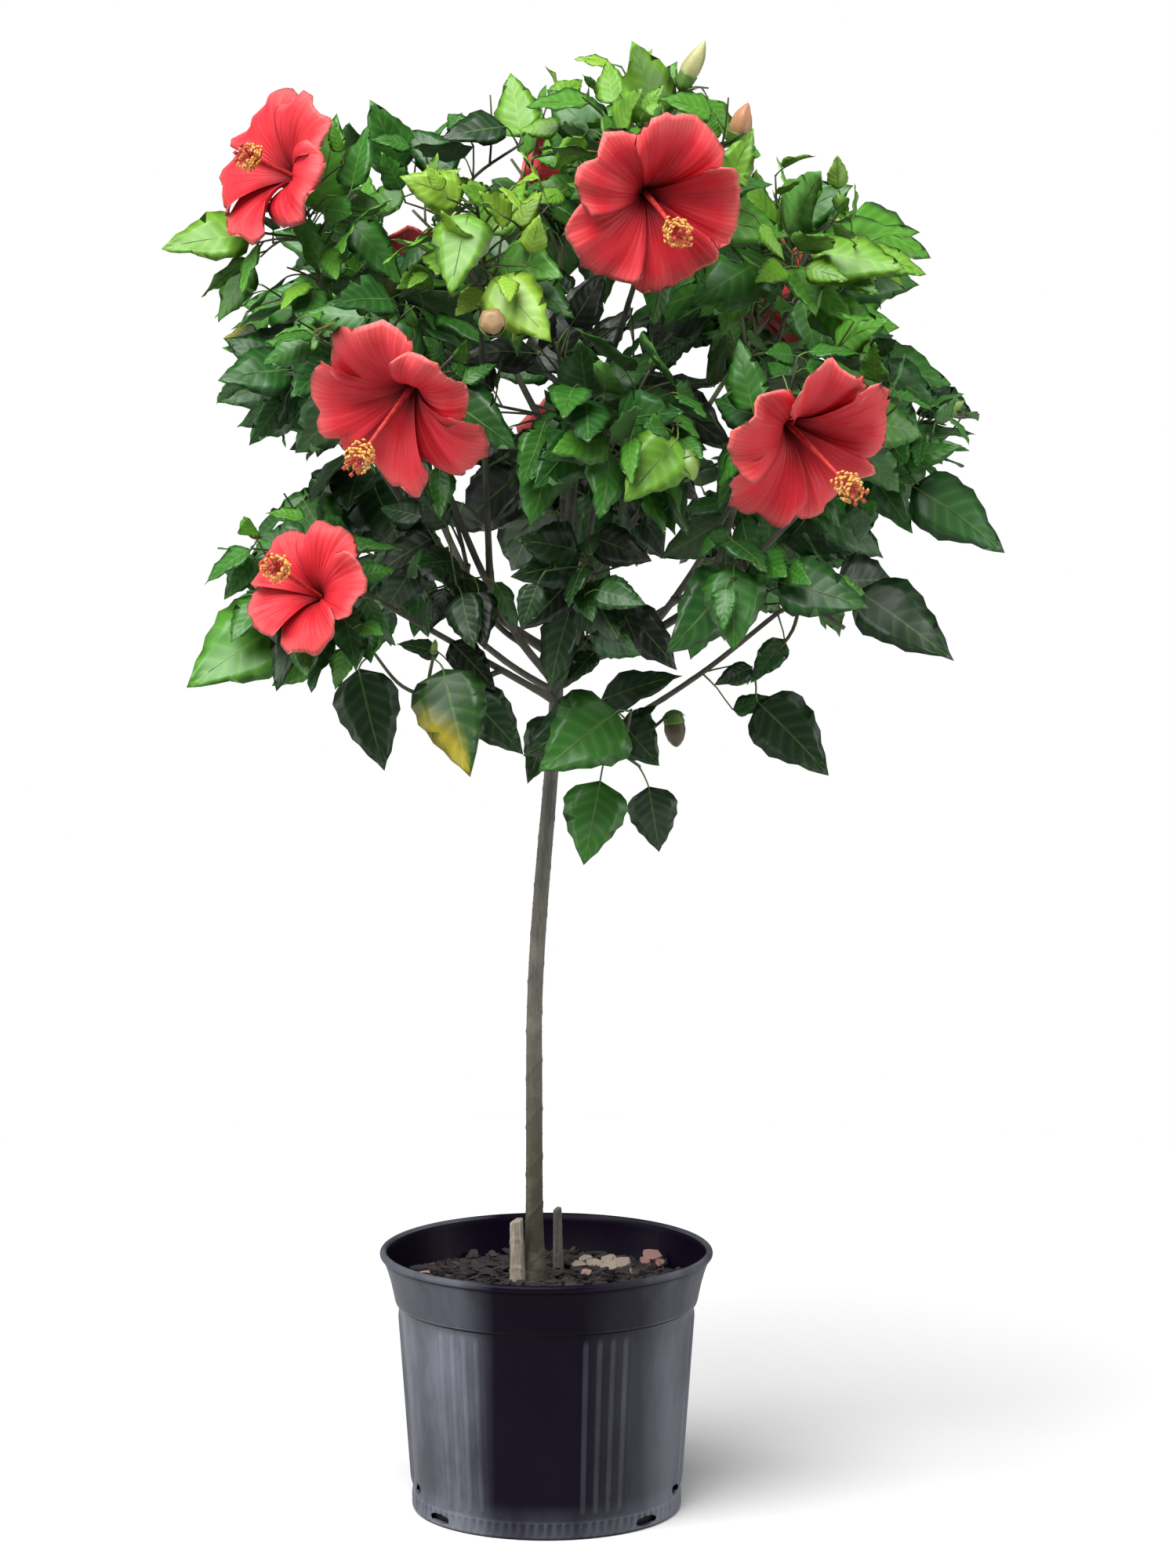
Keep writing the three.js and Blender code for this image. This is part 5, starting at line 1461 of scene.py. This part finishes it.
def make_pot():
    """The turned wall with its ribs, and the drain holes cut out of it."""
    profile, outer_rings = pot_profile()
    degrees = np.arange(POT_SIDES) * 360 / POT_SIDES
    relief = rib_relief(degrees[None], profile[:, 1:])
    relief[outer_rings:] = 0
    points, faces = lathe(profile, degrees, relief)
    piece = add_piece("pot_shell", points, faces, replaces=["nursery_pot"])
    cut(piece, drain_cutters())
    print("pot after the drain holes:", len(piece.data.polygons), "faces")
    return piece


pot = make_pot()

# %% [markdown]
# ## Potting mix and bark chips
#
# The pot is filled almost to the collar's top with dark bark mulch. A bumpy ground closes
# the fill: level round the stem, a little lower at the wall, with small waves on it. The
# chips that lie on the ground are a piece of their own.

# %% Ground of the potting mix
SOIL_FLAT, SOIL_DROP = 50, 5
SOIL_RINGS, SOIL_SIDES = 60, 180


def soil_level(radius):
    """Level round the stem, and falling by a smooth step towards the wall."""
    return SOIL_LEVEL - SOIL_DROP * smooth((radius - SOIL_FLAT) / (POT["collar"] - SOIL_FLAT))


def soil_bumps(x, y):
    """Three crossed waves of shorter and shorter length, 3 mm at most."""
    coarse = np.sin(0.11 * x + 1.3) * np.cos(0.13 * y)
    middle = np.sin(0.27 * x + 0.2 * y) * np.cos(0.24 * y - 0.19 * x + 2)
    fine = np.sin(0.63 * x - 0.5 * y + 1) * np.cos(0.71 * y + 0.4 * x)
    return 1.1 * coarse + 0.9 * middle + 0.7 * fine


def make_soil():
    """Rings from the middle to the wall, then down the wall and in over the floor."""
    edge = POT["collar"] + POT["ledge"] - POT["wall"] - 0.5
    radii = np.linspace(1.5, edge, SOIL_RINGS)
    angle = full_turn(SOIL_SIDES)
    x, y = radii[:, None] * np.sin(angle), -radii[:, None] * np.cos(angle)
    fade = np.clip((edge - radii[:, None]) / 6, 0, 1)
    top = np.stack([x, y, soil_level(radii)[:, None] + soil_bumps(x, y) * fade - 1], -1)
    wall = [(edge - 4, SHOULDER + 1), (body_radius(60) - 3.4, 60), (body_radius(5) - 3.4, 5)]
    around = np.stack([np.sin(angle), -np.cos(angle), 0 * angle], -1)
    below = [around * radius + UP * z for radius, z in [*wall, (2, 5)]]
    skin = np.concatenate([top, np.array(below)])[::-1]
    ends = [[0, 0, skin[0, 0, 2]], [0, 0, skin[-1, 0, 2]]]
    points = np.vstack([skin.reshape(-1, 3), ends])
    faces = closed_faces(len(skin), SOIL_SIDES)
    return add_piece("potting_mix", points, faces, replaces=["potting_soil"])


soil = make_soil()

# %% [markdown]
# Bark mulch is split slabs with ragged ends that lie at all angles, mostly near black, a
# few pale. Each chip is one slab with six sides, bent out of true by its own numbers, so
# that no two look alike.

# %% Bark chips
CHIP_COUNT = 1100
CHIP_OUTLINE = ((-1, -0.8), (0.1, -1), (1, -0.5), (0.9, 0.7), (-0.2, 1), (-1, 0.5))
CHIP_CORNERS = np.array([[x, y, z] for z in (-1, 1) for x, y in CHIP_OUTLINE])
CHIP_SHADES, PALE_SHADE = 8, 6  # the last two shades are the pale ones
CHIPS_CLEAR_OF_STEM = 15
PALE_ROLL = 0.75  # how much the pale chips tip towards the light
# The pale chips that stand out: x, y, size, turn in degrees and lift.
PALE_CHIPS = (
    (28, 40, 6, 10, 3), (84, 62, 5, 30, 5), (40, 46, 7, -20, 3), (90, 74, 8, 25, 8),
    (33, 62, 5, 15, 4), (-104, 30, 5, 15, 2), (52, 34, 7, -12, 3), (97, 60, 4, 40, 5),
    (64, 50, 8, 20, 4), (72, 26, 4, 80, 2), (52, 58, 6, -30, 5), (34, 14, 4, 0, 2),
)


def make_chips():
    """Six-cornered slabs, each scaled, bent out of true, tipped and turned by its own
    numbers; the shade is the UV column."""
    draw = seeded(33)
    chance = np.array([[draw() for _ in range(10)] for _ in range(CHIP_COUNT)])
    radius = (POT["collar"] - 3) * np.sqrt(chance[:, 0])
    angle = 2 * np.pi * chance[:, 1]
    x, y = radius * np.sin(angle), -radius * np.cos(angle)
    turn, size = 2 * np.pi * chance[:, 2], 3.2 + 5.5 * chance[:, 3] ** 2
    shade = np.floor(PALE_SHADE * chance[:, 4] ** 1.4).astype(int)
    lift = 1.6 * chance[:, 9]
    for k, (px, py, large, degrees, raised) in enumerate(PALE_CHIPS):
        x[k], y[k], size[k], turn[k] = px, py, large, np.radians(degrees)
        shade[k], lift[k] = PALE_SHADE + k % 2, raised
    moved = [[[draw() for _ in range(3)] for _ in CHIP_CORNERS] for _ in range(CHIP_COUNT)]
    shape = CHIP_CORNERS + 0.55 * (np.array(moved) - 0.5)
    sizes = np.stack([size, size * (0.35 + 0.35 * chance[:, 5]), 0.8 + 1.0 * chance[:, 6]], -1)
    local = shape * sizes[:, None]
    tip, roll = 0.7 * (chance[:, 7] - 0.5), 0.9 * (chance[:, 8] - 0.5)
    roll[:len(PALE_CHIPS)] = PALE_ROLL
    local[..., 2] += local[..., 0] * tip[:, None] + local[..., 1] * roll[:, None]

    cosine, sine = np.cos(turn)[:, None], np.sin(turn)[:, None]
    level = soil_level(np.hypot(x, y)) + soil_bumps(x, y) + lift
    points = np.stack([
        x[:, None] + local[..., 0] * cosine - local[..., 1] * sine,
        y[:, None] + local[..., 0] * sine + local[..., 1] * cosine,
        level[:, None] + local[..., 2],
    ], -1)
    away = np.hypot(x - TRUNK["foot_x"], y) > CHIPS_CLEAR_OF_STEM
    points, shade = points[away], shade[away]
    k = np.arange(6)
    sides = np.stack([k, (k + 1) % 6, (k + 1) % 6 + 6, k + 6], -1)
    lids = np.array([[6, 7, 8, 9], [6, 9, 10, 11], [3, 2, 1, 0], [5, 4, 3, 0]])
    faces = np.concatenate([sides, lids])
    corners = CHIP_CORNERS[faces][None]
    u = (shade[:, None, None] + 0.5 + 0.42 * corners[..., 0]) / CHIP_SHADES
    corner_uv = np.stack([u, np.broadcast_to(0.5 + 0.4 * corners[..., 1], u.shape)], -1)
    faces = copies(len(points), len(CHIP_CORNERS), faces)
    return add_piece(
        "bark_chips", points.reshape(-1, 3), [faces], [corner_uv],
        smooth_shading=False,
    )


chips = make_chips()

# %% [markdown]
# ## Materials
#
# Colours are written as they look on a screen and turned into the linear light the
# renderer works with. Every material starts from a plain base colour for the finish and
# adds detail: mottling, veins, streaks or scuffs. A pattern that lies in space reads the
# object's own coordinates; one that belongs to each leaf or petal reads its UV map.

# %% Material helpers
def paint(red, green, blue, share_lit=1.0):
    """A screen colour from 0 to 255 as linear light, times the share that the finish keeps."""
    share = np.array([red, green, blue]) / 255
    linear = np.where(share <= 0.04045, share / 12.92, ((share + 0.055) / 1.055) ** 2.4)
    return (*(linear * share_lit).tolist(), 1.0)


def grey(share):
    """An even grey, as a weight for a mix."""
    return (share, share, share, 1)


class Shader:
    """A material's node tree, with a short way to add a node and join it up."""

    def __init__(self, name, piece, roughness):
        """Makes the material and gives it to the piece."""
        self.material = bpy.data.materials.new(name)
        self.material.use_nodes = True
        self.tree = self.material.node_tree
        self.surface = self.tree.nodes["Principled BSDF"]
        self.surface.inputs["Roughness"].default_value = roughness
        piece.data.materials.clear()
        piece.data.materials.append(self.material)

    def put(self, socket, value):
        """A constant is set on the socket; anything else is linked to it."""
        if isinstance(value, bpy.types.NodeSocket):
            self.tree.links.new(value, socket)
        else:
            socket.default_value = value

    def node(self, kind, settings=(), output=0, **inputs):
        """Adds a node; inputs are named by the socket's name with _ for a space."""
        node = self.tree.nodes.new("ShaderNode" + kind)
        for key, value in dict(settings).items():
            setattr(node, key, value)
        for key, value in inputs.items():
            name = key.replace("_", " ")
            self.put(node.inputs[int(name[1:]) if name[1:].isdigit() else name], value)
        return node.outputs[output]

    def math(self, operation, first, second=0.0, third=0.0):
        """One sum; MULTIPLY_ADD is first times second, plus third."""
        return self.node("Math", {"operation": operation}, i0=first, i1=second, i2=third)

    def ramp(self, factor, stops, interpolation="LINEAR"):
        """Colours by position: stops are (position, colour)."""
        node = self.tree.nodes.new("ShaderNodeValToRGB")
        node.color_ramp.interpolation = interpolation
        points = node.color_ramp.elements
        while len(points) < len(stops):
            points.new(0.5)
        for point, (position, color) in zip(points, stops):
            point.position, point.color = position, color
        self.put(node.inputs["Fac"], factor)
        return node.outputs["Color"]

    def times(self, first, second):
        """First times second."""
        return self.math("MULTIPLY", first, second)

    def columns(self, across, colors):
        """One flat colour for each column of the piece's map."""
        stops = [(k / len(colors), color) for k, color in enumerate(colors)]
        return self.ramp(across, stops, "CONSTANT")

    def mix(self, factor, first, second, blend="MIX"):
        """The first colour where the factor is 0, the second where it is 1."""
        node = self.tree.nodes.new("ShaderNodeMix")
        node.data_type, node.blend_type = "RGBA", blend
        self.put(node.inputs[0], factor)
        self.put(node.inputs[6], first)
        self.put(node.inputs[7], second)
        return node.outputs[2]

    def noise(self, vector, scale, detail=3.0, roughness=0.5):
        """Cloudy values between 0 and 1; a larger scale makes smaller clouds."""
        return self.node("TexNoise", Vector=vector, Scale=scale, Detail=detail, Roughness=roughness)

    def scaled(self, vector, by):
        """Each part of the vector times its own number, to draw a pattern out."""
        return self.node("VectorMath", {"operation": "MULTIPLY"}, i0=vector, i1=by)

    def place(self):
        """The object's own coordinates, in metres."""
        return self.node("TexCoord", output=3)

    def flat_map(self):
        """The piece's own UV map, split into across and along."""
        vector = self.node("UVMap", {"uv_map": "OFBake"})
        across, up, _ = self.axes(vector)
        return vector, across, up

    def axes(self, vector):
        """The three parts of a vector."""
        split = self.tree.nodes.new("ShaderNodeSeparateXYZ")
        self.put(split.inputs[0], vector)
        return split.outputs

    def bump(self, height, strength, distance):
        """Small relief in the shading alone; the distance is in metres."""
        normal = self.node("Bump", Height=height, Strength=strength, Distance=distance)
        self.put(self.surface.inputs["Normal"], normal)

    def color(self, value):
        """Joins the finished colour to the surface."""
        self.put(self.surface.inputs["Base Color"], value)

    def set(self, **values):
        """Sets or joins other inputs of the surface by name."""
        for key, value in values.items():
            self.put(self.surface.inputs[key.replace("_", " ")], value)


print("material helpers ready")

# %% [markdown]
# ## Leaf colour
#
# The map's column gives the base colour. Inside the column the place across and along
# draws the pale midrib, side veins that run forward to the edge, and darker quilting
# between them. The lower row is the underside: paler and less glossy.

# %% Leaf material
# The darkest shades, 5 and 6, are this dark as painted shade for the leaves deep in the crown.
LEAF_COLORS = (
    (160, 208, 66), (124, 184, 54), (86, 156, 44), (58, 126, 40),
    (40, 98, 38), (22, 62, 28), (8, 27, 15), (44, 92, 34),
)
LIT = 0.6  # the studio's light shows a plant's colour brighter than it is
WOOD_LIT = 0.55


def leaf_material():
    """The column's colour, mottled and quilted, then veins, midrib and a paler underside.
    The last column is worn: its colour turns yellow towards the tip and one side."""
    shader = Shader("leaf_green", leaves, 0.36)
    vector, u, v = shader.flat_map()
    base = shader.columns(u, [paint(*color, LIT) for color in LEAF_COLORS])
    column = shader.math("FRACT", shader.times(u, SHADES))
    across = shader.math("ABSOLUTE", shader.math("MULTIPLY_ADD", column, 2.17, -1.087))
    share = shader.math("FRACT", shader.times(v, 2.0))
    last = shader.math("GREATER_THAN", u, 7 / SHADES)
    worn = shader.times(last, shader.times(share, column))
    worn = shader.ramp(worn, [(0.22, grey(0)), (0.45, grey(1))])
    base = shader.mix(worn, base, paint(196, 178, 40, LIT))
    upper = shader.math("GREATER_THAN", v, 0.5)
    midrib = shader.math("LESS_THAN", across, 0.04)
    rows = shader.math("SUBTRACT", shader.times(share, 8.0), shader.times(across, 1.5))
    wave = shader.math("ABSOLUTE", shader.math("SINE", shader.times(rows, math.pi)))
    veins = shader.math("SUBTRACT", 1.0, shader.math("POWER", wave, 0.3))
    mottle = shader.noise(vector, 60.0, 4.0)
    quilt = shader.mix(shader.times(wave, 0.2), base, (0.0, 0.005, 0.0, 1))
    spots = shader.ramp(mottle, [(0.35, grey(0)), (0.7, grey(0.35))])
    spotted = shader.mix(spots, quilt, shader.mix(1.0, base, paint(210, 225, 130), "MULTIPLY"))
    pale = shader.mix(0.3, base, paint(170, 205, 100, LIT))
    veined = shader.mix(shader.times(veins, 0.35), spotted, pale)
    ribbed = shader.mix(shader.times(midrib, 0.6), veined, pale)
    under = shader.mix(0.3, ribbed, paint(110, 145, 90, LIT))
    shader.color(shader.mix(upper, under, ribbed))
    gloss = shader.math("SUBTRACT", 0.62, shader.times(upper, 0.2))
    shader.set(Roughness=gloss, Specular_IOR_Level=0.35)
    shader.bump(shader.math("ADD", wave, shader.times(mottle, 0.3)), 0.2, 0.0008)


leaf_material()
print("leaf colours:", len(LEAF_COLORS), "shades")

# %% [markdown]
# ## Petal colour
#
# Coral red over the spread of the petal, a deep crimson eye in the throat, fine darker
# veins that fan out from it, and a slightly lighter rim. The back is a little paler.

# %% Petal, stamen and bud materials
def petal_material():
    """A ramp from throat to rim, fine veins, soft clouds, and a paler back."""
    shader = Shader("petal_coral", petals, 0.55)
    vector, u, v = shader.flat_map()
    share = shader.math("FRACT", shader.times(v, 2.0))
    upper = shader.math("GREATER_THAN", v, 0.5)
    base = shader.ramp(share, [
        (0.0, paint(60, 0, 4, 0.55)), (0.18, paint(120, 0, 10, 0.55)),
        (0.36, paint(200, 8, 28, 0.6)), (0.5, paint(226, 22, 40, 0.6)),
        (0.78, paint(244, 50, 62, 0.62)), (0.92, paint(250, 96, 96, 0.64)),
        (1.0, paint(255, 172, 158, 0.7)),
    ])
    fan = shader.math("SINE", shader.times(u, 92.0))
    wander = shader.noise(shader.scaled(vector, (18.0, 3.0, 1.0)), 2.0, 4.0)
    vein = shader.math("POWER", shader.math("ABSOLUTE", shader.times(fan, wander)), 2.0)
    veined = shader.mix(shader.times(vein, 0.9), base, paint(186, 10, 30, LIT))
    cloud = shader.noise(vector, 7.0, 5.0)
    clouds = shader.ramp(cloud, [(0.4, grey(0)), (0.75, grey(0.3))])
    clouded = shader.mix(clouds, veined, paint(250, 74, 86, LIT))
    back = shader.mix(0.3, clouded, paint(232, 92, 100, LIT))
    shader.color(shader.mix(upper, back, clouded))
    shader.set(Specular_IOR_Level=0.25)
    shader.bump(shader.math("ADD", shader.times(fan, 0.5), cloud), 0.35, 0.0008)


def stamen_materials():
    """Clouded red for the columns; golden grains and crimson pads by the map's column."""
    shader = Shader("stamen_column", stamen_columns, 0.5)
    cloud = shader.noise(shader.place(), 220.0)
    stops = [(0.3, paint(200, 26, 36, LIT)), (0.7, paint(232, 80, 70, LIT))]
    shader.color(shader.ramp(cloud, stops))
    shader = Shader("anther_gold", anthers, 0.6)
    vector, u, _ = shader.flat_map()
    base = shader.columns(u, [paint(246, 190, 92, 0.75), paint(176, 14, 30, 0.7)])
    grain = shader.noise(vector, 9.0)
    shader.color(shader.mix(shader.times(grain, 0.5), base, paint(206, 120, 56, 0.75)))


# The colours of a bud's foot and tip, in the order of BUD_COLORS.
BUD_FEET = (
    (200, 202, 134), (206, 170, 116), (140, 98, 58), (112, 152, 58), (96, 70, 44), (84, 130, 50),
)
BUD_TIPS = (
    (222, 212, 146), (226, 134, 100), (196, 158, 112), (148, 186, 80), (60, 42, 28), (122, 162, 68),
)


def bud_material():
    """From the foot's colour to the tip's by the ring, with lengthwise streaks."""
    shader = Shader("bud_skin", buds, 0.45)
    vector, u, v = shader.flat_map()
    foot = shader.columns(u, [paint(*color, LIT) for color in BUD_FEET])
    tip = shader.columns(u, [paint(*color, LIT) for color in BUD_TIPS])
    streak = shader.noise(shader.scaled(vector, (60.0, 4.0, 1.0)), 3.0, 3.0)
    shaded = shader.mix(v, foot, tip)
    shader.color(shader.mix(shader.times(streak, 0.35), shaded, paint(90, 110, 50, LIT)))
    shader.bump(streak, 0.4, 0.0006)


petal_material()
stamen_materials()
bud_material()
print("leaf, petal, stamen and bud colours set")

# %% [markdown]
# ## Bark, twigs and stalks
#
# The old stem is olive brown near the soil and grey brown higher up. Its colour is darker
# again where the boughs begin: that is painted shade under the crown. Darker strands run
# along it. Twigs are brown with green patches.

# %% Wood materials
def wood_materials():
    """Stem and boughs by height, darker from where the boughs begin as painted shade, with dark
    strands and pale patches; twigs, stalks and the two stubs by a cloud or by lengthwise fibres."""
    shader = Shader("stem_bark", wood, 0.75)
    place = shader.place()
    _, _, height = shader.axes(place)
    # Olive brown low down, grey brown in the middle; the darker stops from 0.74 m up are painted shade
    # under the crown.
    base = shader.ramp(height, [
        (0.2, paint(54, 50, 30, 0.5)), (0.3, paint(82, 78, 52, 0.5)),
        (0.45, paint(112, 110, 98, WOOD_LIT)), (0.65, paint(124, 122, 114, WOOD_LIT)),
        (0.74, paint(84, 80, 64, WOOD_LIT)), (1.0, paint(62, 66, 44, WOOD_LIT)),
    ])
    strands = shader.noise(shader.scaled(place, (900.0, 900.0, 60.0)), 1.0, 4.0, 0.6)
    patches = shader.noise(place, 38.0, 4.0)
    strand = shader.ramp(strands, [(0.42, grey(0)), (0.72, grey(0.7))])
    dark = shader.mix(strand, base, paint(48, 44, 36, WOOD_LIT))
    patch = shader.ramp(patches, [(0.5, grey(0)), (0.8, grey(0.6))])
    shader.color(shader.mix(patch, dark, paint(150, 146, 130, WOOD_LIT)))
    shader.bump(strands, 0.6, 0.0012)

    shader = Shader("twig_bark", twigs, 0.65)
    place = shader.place()
    shader.color(shader.ramp(shader.noise(place, 55.0, 3.0), [
        (0.35, paint(60, 56, 36, LIT)), (0.6, paint(78, 92, 44, LIT)), (0.8, paint(104, 92, 66, LIT)),
    ]))
    shader.bump(shader.noise(place, 700.0), 0.4, 0.0008)

    shader = Shader("leaf_stalk", stalks, 0.5)
    patches = shader.noise(shader.place(), 60.0, 3.0)
    stops = [(0.35, paint(72, 108, 40, LIT)), (0.7, paint(118, 150, 62, LIT))]
    shader.color(shader.ramp(patches, stops))

    stubs = ((stub_front, (112, 98, 84), (176, 166, 152)), (stub_back, (66, 62, 56), (118, 112, 104)))
    for piece, dark, pale in stubs:
        shader = Shader(piece.name, piece, 0.8)
        fibre = shader.noise(shader.scaled(shader.place(), (700.0, 700.0, 45.0)), 1.0, 4.0)
        shader.color(shader.ramp(fibre, [(0.3, paint(*dark, LIT)), (0.65, paint(*pale, LIT))]))
        shader.bump(fibre, 0.7, 0.0015)


wood_materials()
print("wood colours set")

# %% [markdown]
# ## Pot and potting mix
#
# Black plastic with a faint violet cast, and pale grey on its outside, none inside: at both
# sides the grey is painted sheen, the bright edges of a glossy pot; on the ribs it is scuffs
# that also stand in for their glint; at the foot it is pale dust. The mulch is near black,
# its chips are dark brown and a few are pale.

# %% Pot, soil and chip materials
CHIP_COLORS = (
    (12, 6, 9), (17, 9, 12), (14, 7, 11), (23, 14, 15), (30, 19, 18), (44, 29, 26),
    (150, 136, 122, 0.75), (158, 118, 112, 0.75),
)


def pot_materials():
    """Pot: painted sheen at both sides, pale dust low down, and scuffs with painted glint on what
    stands out from the plain taper, times patches, on the outside alone. Mulch and chips: a
    near black with fine grain."""
    shader = Shader("black_plastic", pot, 0.42)
    place = shader.place()
    x, y, z = shader.axes(place)
    dust = shader.noise(shader.scaled(place, (14.0, 14.0, 5.0)), 1.0, 6.0, 0.65)
    patches = shader.ramp(dust, [(0.36, grey(0.4)), (0.62, grey(1.0))])
    low = shader.ramp(z, [(0.0, grey(0.3)), (0.016, grey(0.22)), (0.03, grey(0.0))])
    # Painted sheen: the pale grey is strongest at the far left and right, where a glossy pot shows
    # bright edges.
    painted_side_sheen = shader.ramp(shader.math("MULTIPLY_ADD", x, 1 / 0.3, 0.5), [
        (0.26, grey(0.9)), (0.36, grey(0.02)), (0.6, grey(0.02)),
        (0.68, grey(0.16)), (0.76, grey(0.24)), (0.84, grey(0.8)),
    ])

    radius = shader.math("SQRT", shader.math("ADD", shader.times(x, x), shader.times(y, y)))
    taper = (POT["collar"] - POT["foot"]) / SHOULDER
    plain = shader.math("MULTIPLY_ADD", z, taper, POT["foot"] * MM)
    raised = shader.times(shader.math("SUBTRACT", radius, plain), 600.0)
    raised = shader.times(raised, shader.math("LESS_THAN", z, (SHOULDER - 1) * MM))
    # Scuffs on the ribs, partly wear and partly a painted glint along them.
    rubbed_and_glint = shader.ramp(raised, [(0.2, grey(0.0)), (0.7, grey(0.2))])

    normal = shader.node("TexCoord", output=1)
    dot = {"operation": "DOT_PRODUCT"}
    outwards = shader.node("VectorMath", dot, output=1, i0=place, i1=normal)
    outside = shader.math("GREATER_THAN", outwards, 0.0)
    on_collar = shader.math("GREATER_THAN", z, (SHOULDER + 3) * MM)
    share = shader.times(shader.math("ADD", painted_side_sheen, shader.math("ADD", low, rubbed_and_glint)), patches)
    share = shader.times(share, outside)
    share = shader.times(share, shader.math("MULTIPLY_ADD", on_collar, -0.4, 1.0))
    # The grey-blue mixed in is pale dust at the foot, and painted sheen and glint at the sides and on
    # the ribs.
    shader.color(shader.mix(share, paint(6, 1, 14), paint(104, 107, 116, 0.8)))
    streak = shader.noise(shader.scaled(place, (260.0, 260.0, 14.0)), 1.0, 3.0)
    shader.set(Roughness=shader.math("MULTIPLY_ADD", streak, 0.2, 0.32), Specular_IOR_Level=0.05)
    shader.bump(shader.noise(place, 300.0), 0.15, 0.0006)

    shader = Shader("mulch", soil, 0.95)
    place = shader.place()
    grain = shader.noise(place, 420.0, 5.0, 0.7)
    stops = [(0.3, paint(7, 4, 6)), (0.6, paint(16, 10, 11)), (0.8, paint(32, 21, 19))]
    shader.color(shader.ramp(grain, stops))
    shader.bump(grain, 0.9, 0.003)

    shader = Shader("bark_chip", chips, 0.85)
    vector, u, _ = shader.flat_map()
    base = shader.columns(u, [paint(*color) for color in CHIP_COLORS])
    grain = shader.noise(shader.scaled(vector, (8.0, 12.0, 1.0)), 3.0, 3.0)
    shader.color(shader.mix(shader.times(grain, 0.4), base, paint(20, 13, 14)))
    shader.bump(grain, 0.5, 0.001)


pot_materials()
print("pot, soil and chip colours set")

# %% [markdown]
# ## Studio
#
# A pale floor and a white surround, a soft sun from the upper left in front, and tall soft
# lights at both sides. The pot's gloss is faint, so its bright edges are mostly painted sheen
# in its colour. The middle of the pot stays dark, because nothing bright stands in front of
# it and no sheen is painted there.

# %% Floor, surround and lights
FLOOR_RADIUS, FLOOR_GREY = 1.6, 0.52


def make_floor():
    """A round pale floor, no larger than it must be, because it throws light upwards."""
    angle = full_turn(96)
    rim = np.stack([np.cos(angle), np.sin(angle), 0 * angle], -1) * FLOOR_RADIUS
    mesh = bpy.data.meshes.new("floor")
    mesh.from_pydata(rim.tolist(), [], [list(range(len(rim)))])
    floor = bpy.data.objects.new("floor", mesh)
    link(floor)
    Shader("floor_white", floor, 0.9).color(grey(FLOOR_GREY))


def make_surround(strength):
    """White paper behind the plant; the same white, dimmed, as light from all round."""
    world = bpy.data.worlds.new("surround")
    world.use_nodes = True
    tree = world.node_tree
    background = tree.nodes["Background"]
    background.inputs["Color"].default_value = (1, 1, 1, 1)
    seen = tree.nodes.new("ShaderNodeLightPath").outputs["Is Camera Ray"]
    level = tree.nodes.new("ShaderNodeMapRange")
    level.inputs["To Min"].default_value = strength
    tree.links.new(seen, level.inputs["Value"])
    tree.links.new(level.outputs["Result"], background.inputs["Strength"])
    bpy.context.scene.world = world


def soft_light(name, place, aim, size, energy):
    """A rectangular lamp that faces the point it is aimed at."""
    lamp = bpy.data.objects.new(name, bpy.data.lights.new(name, "AREA"))
    lamp.data.shape, lamp.data.energy = "RECTANGLE", energy
    lamp.data.size, lamp.data.size_y = size
    way = unit(np.subtract(aim, place))
    lamp.location = place
    lamp.rotation_euler = (math.acos(-way[2]), 0, math.atan2(-way[0], way[1]))
    link(lamp)


def soft_sun(toward, strength, spread):
    """Even light from one direction; the spread in degrees sets how soft its shadows are."""
    sun = bpy.data.objects.new("sun", bpy.data.lights.new("sun", "SUN"))
    sun.data.energy, sun.data.angle = strength, math.radians(spread)
    sun.rotation_euler = (math.acos(unit(toward)[2]), 0, math.atan2(toward[0], -toward[1]))
    link(sun)


make_floor()
make_surround(0.26)
soft_sun((-0.26, -0.46, 0.85), 7.5, 50)
soft_light("left_strip", (-2.4, -0.2, 0.9), (0, 0, 0.5), (0.7, 2.2), 28)
soft_light("right_strip", (2.4, -0.3, 0.9), (0, 0, 0.5), (0.7, 2.2), 34)
bpy.context.scene.view_settings.view_transform = "Standard"
print("studio: a sun, two soft lights and a floor", 2 * FLOOR_RADIUS, "m across")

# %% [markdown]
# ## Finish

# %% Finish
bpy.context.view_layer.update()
print("script took", round(time.time() - STARTED, 1), "s")
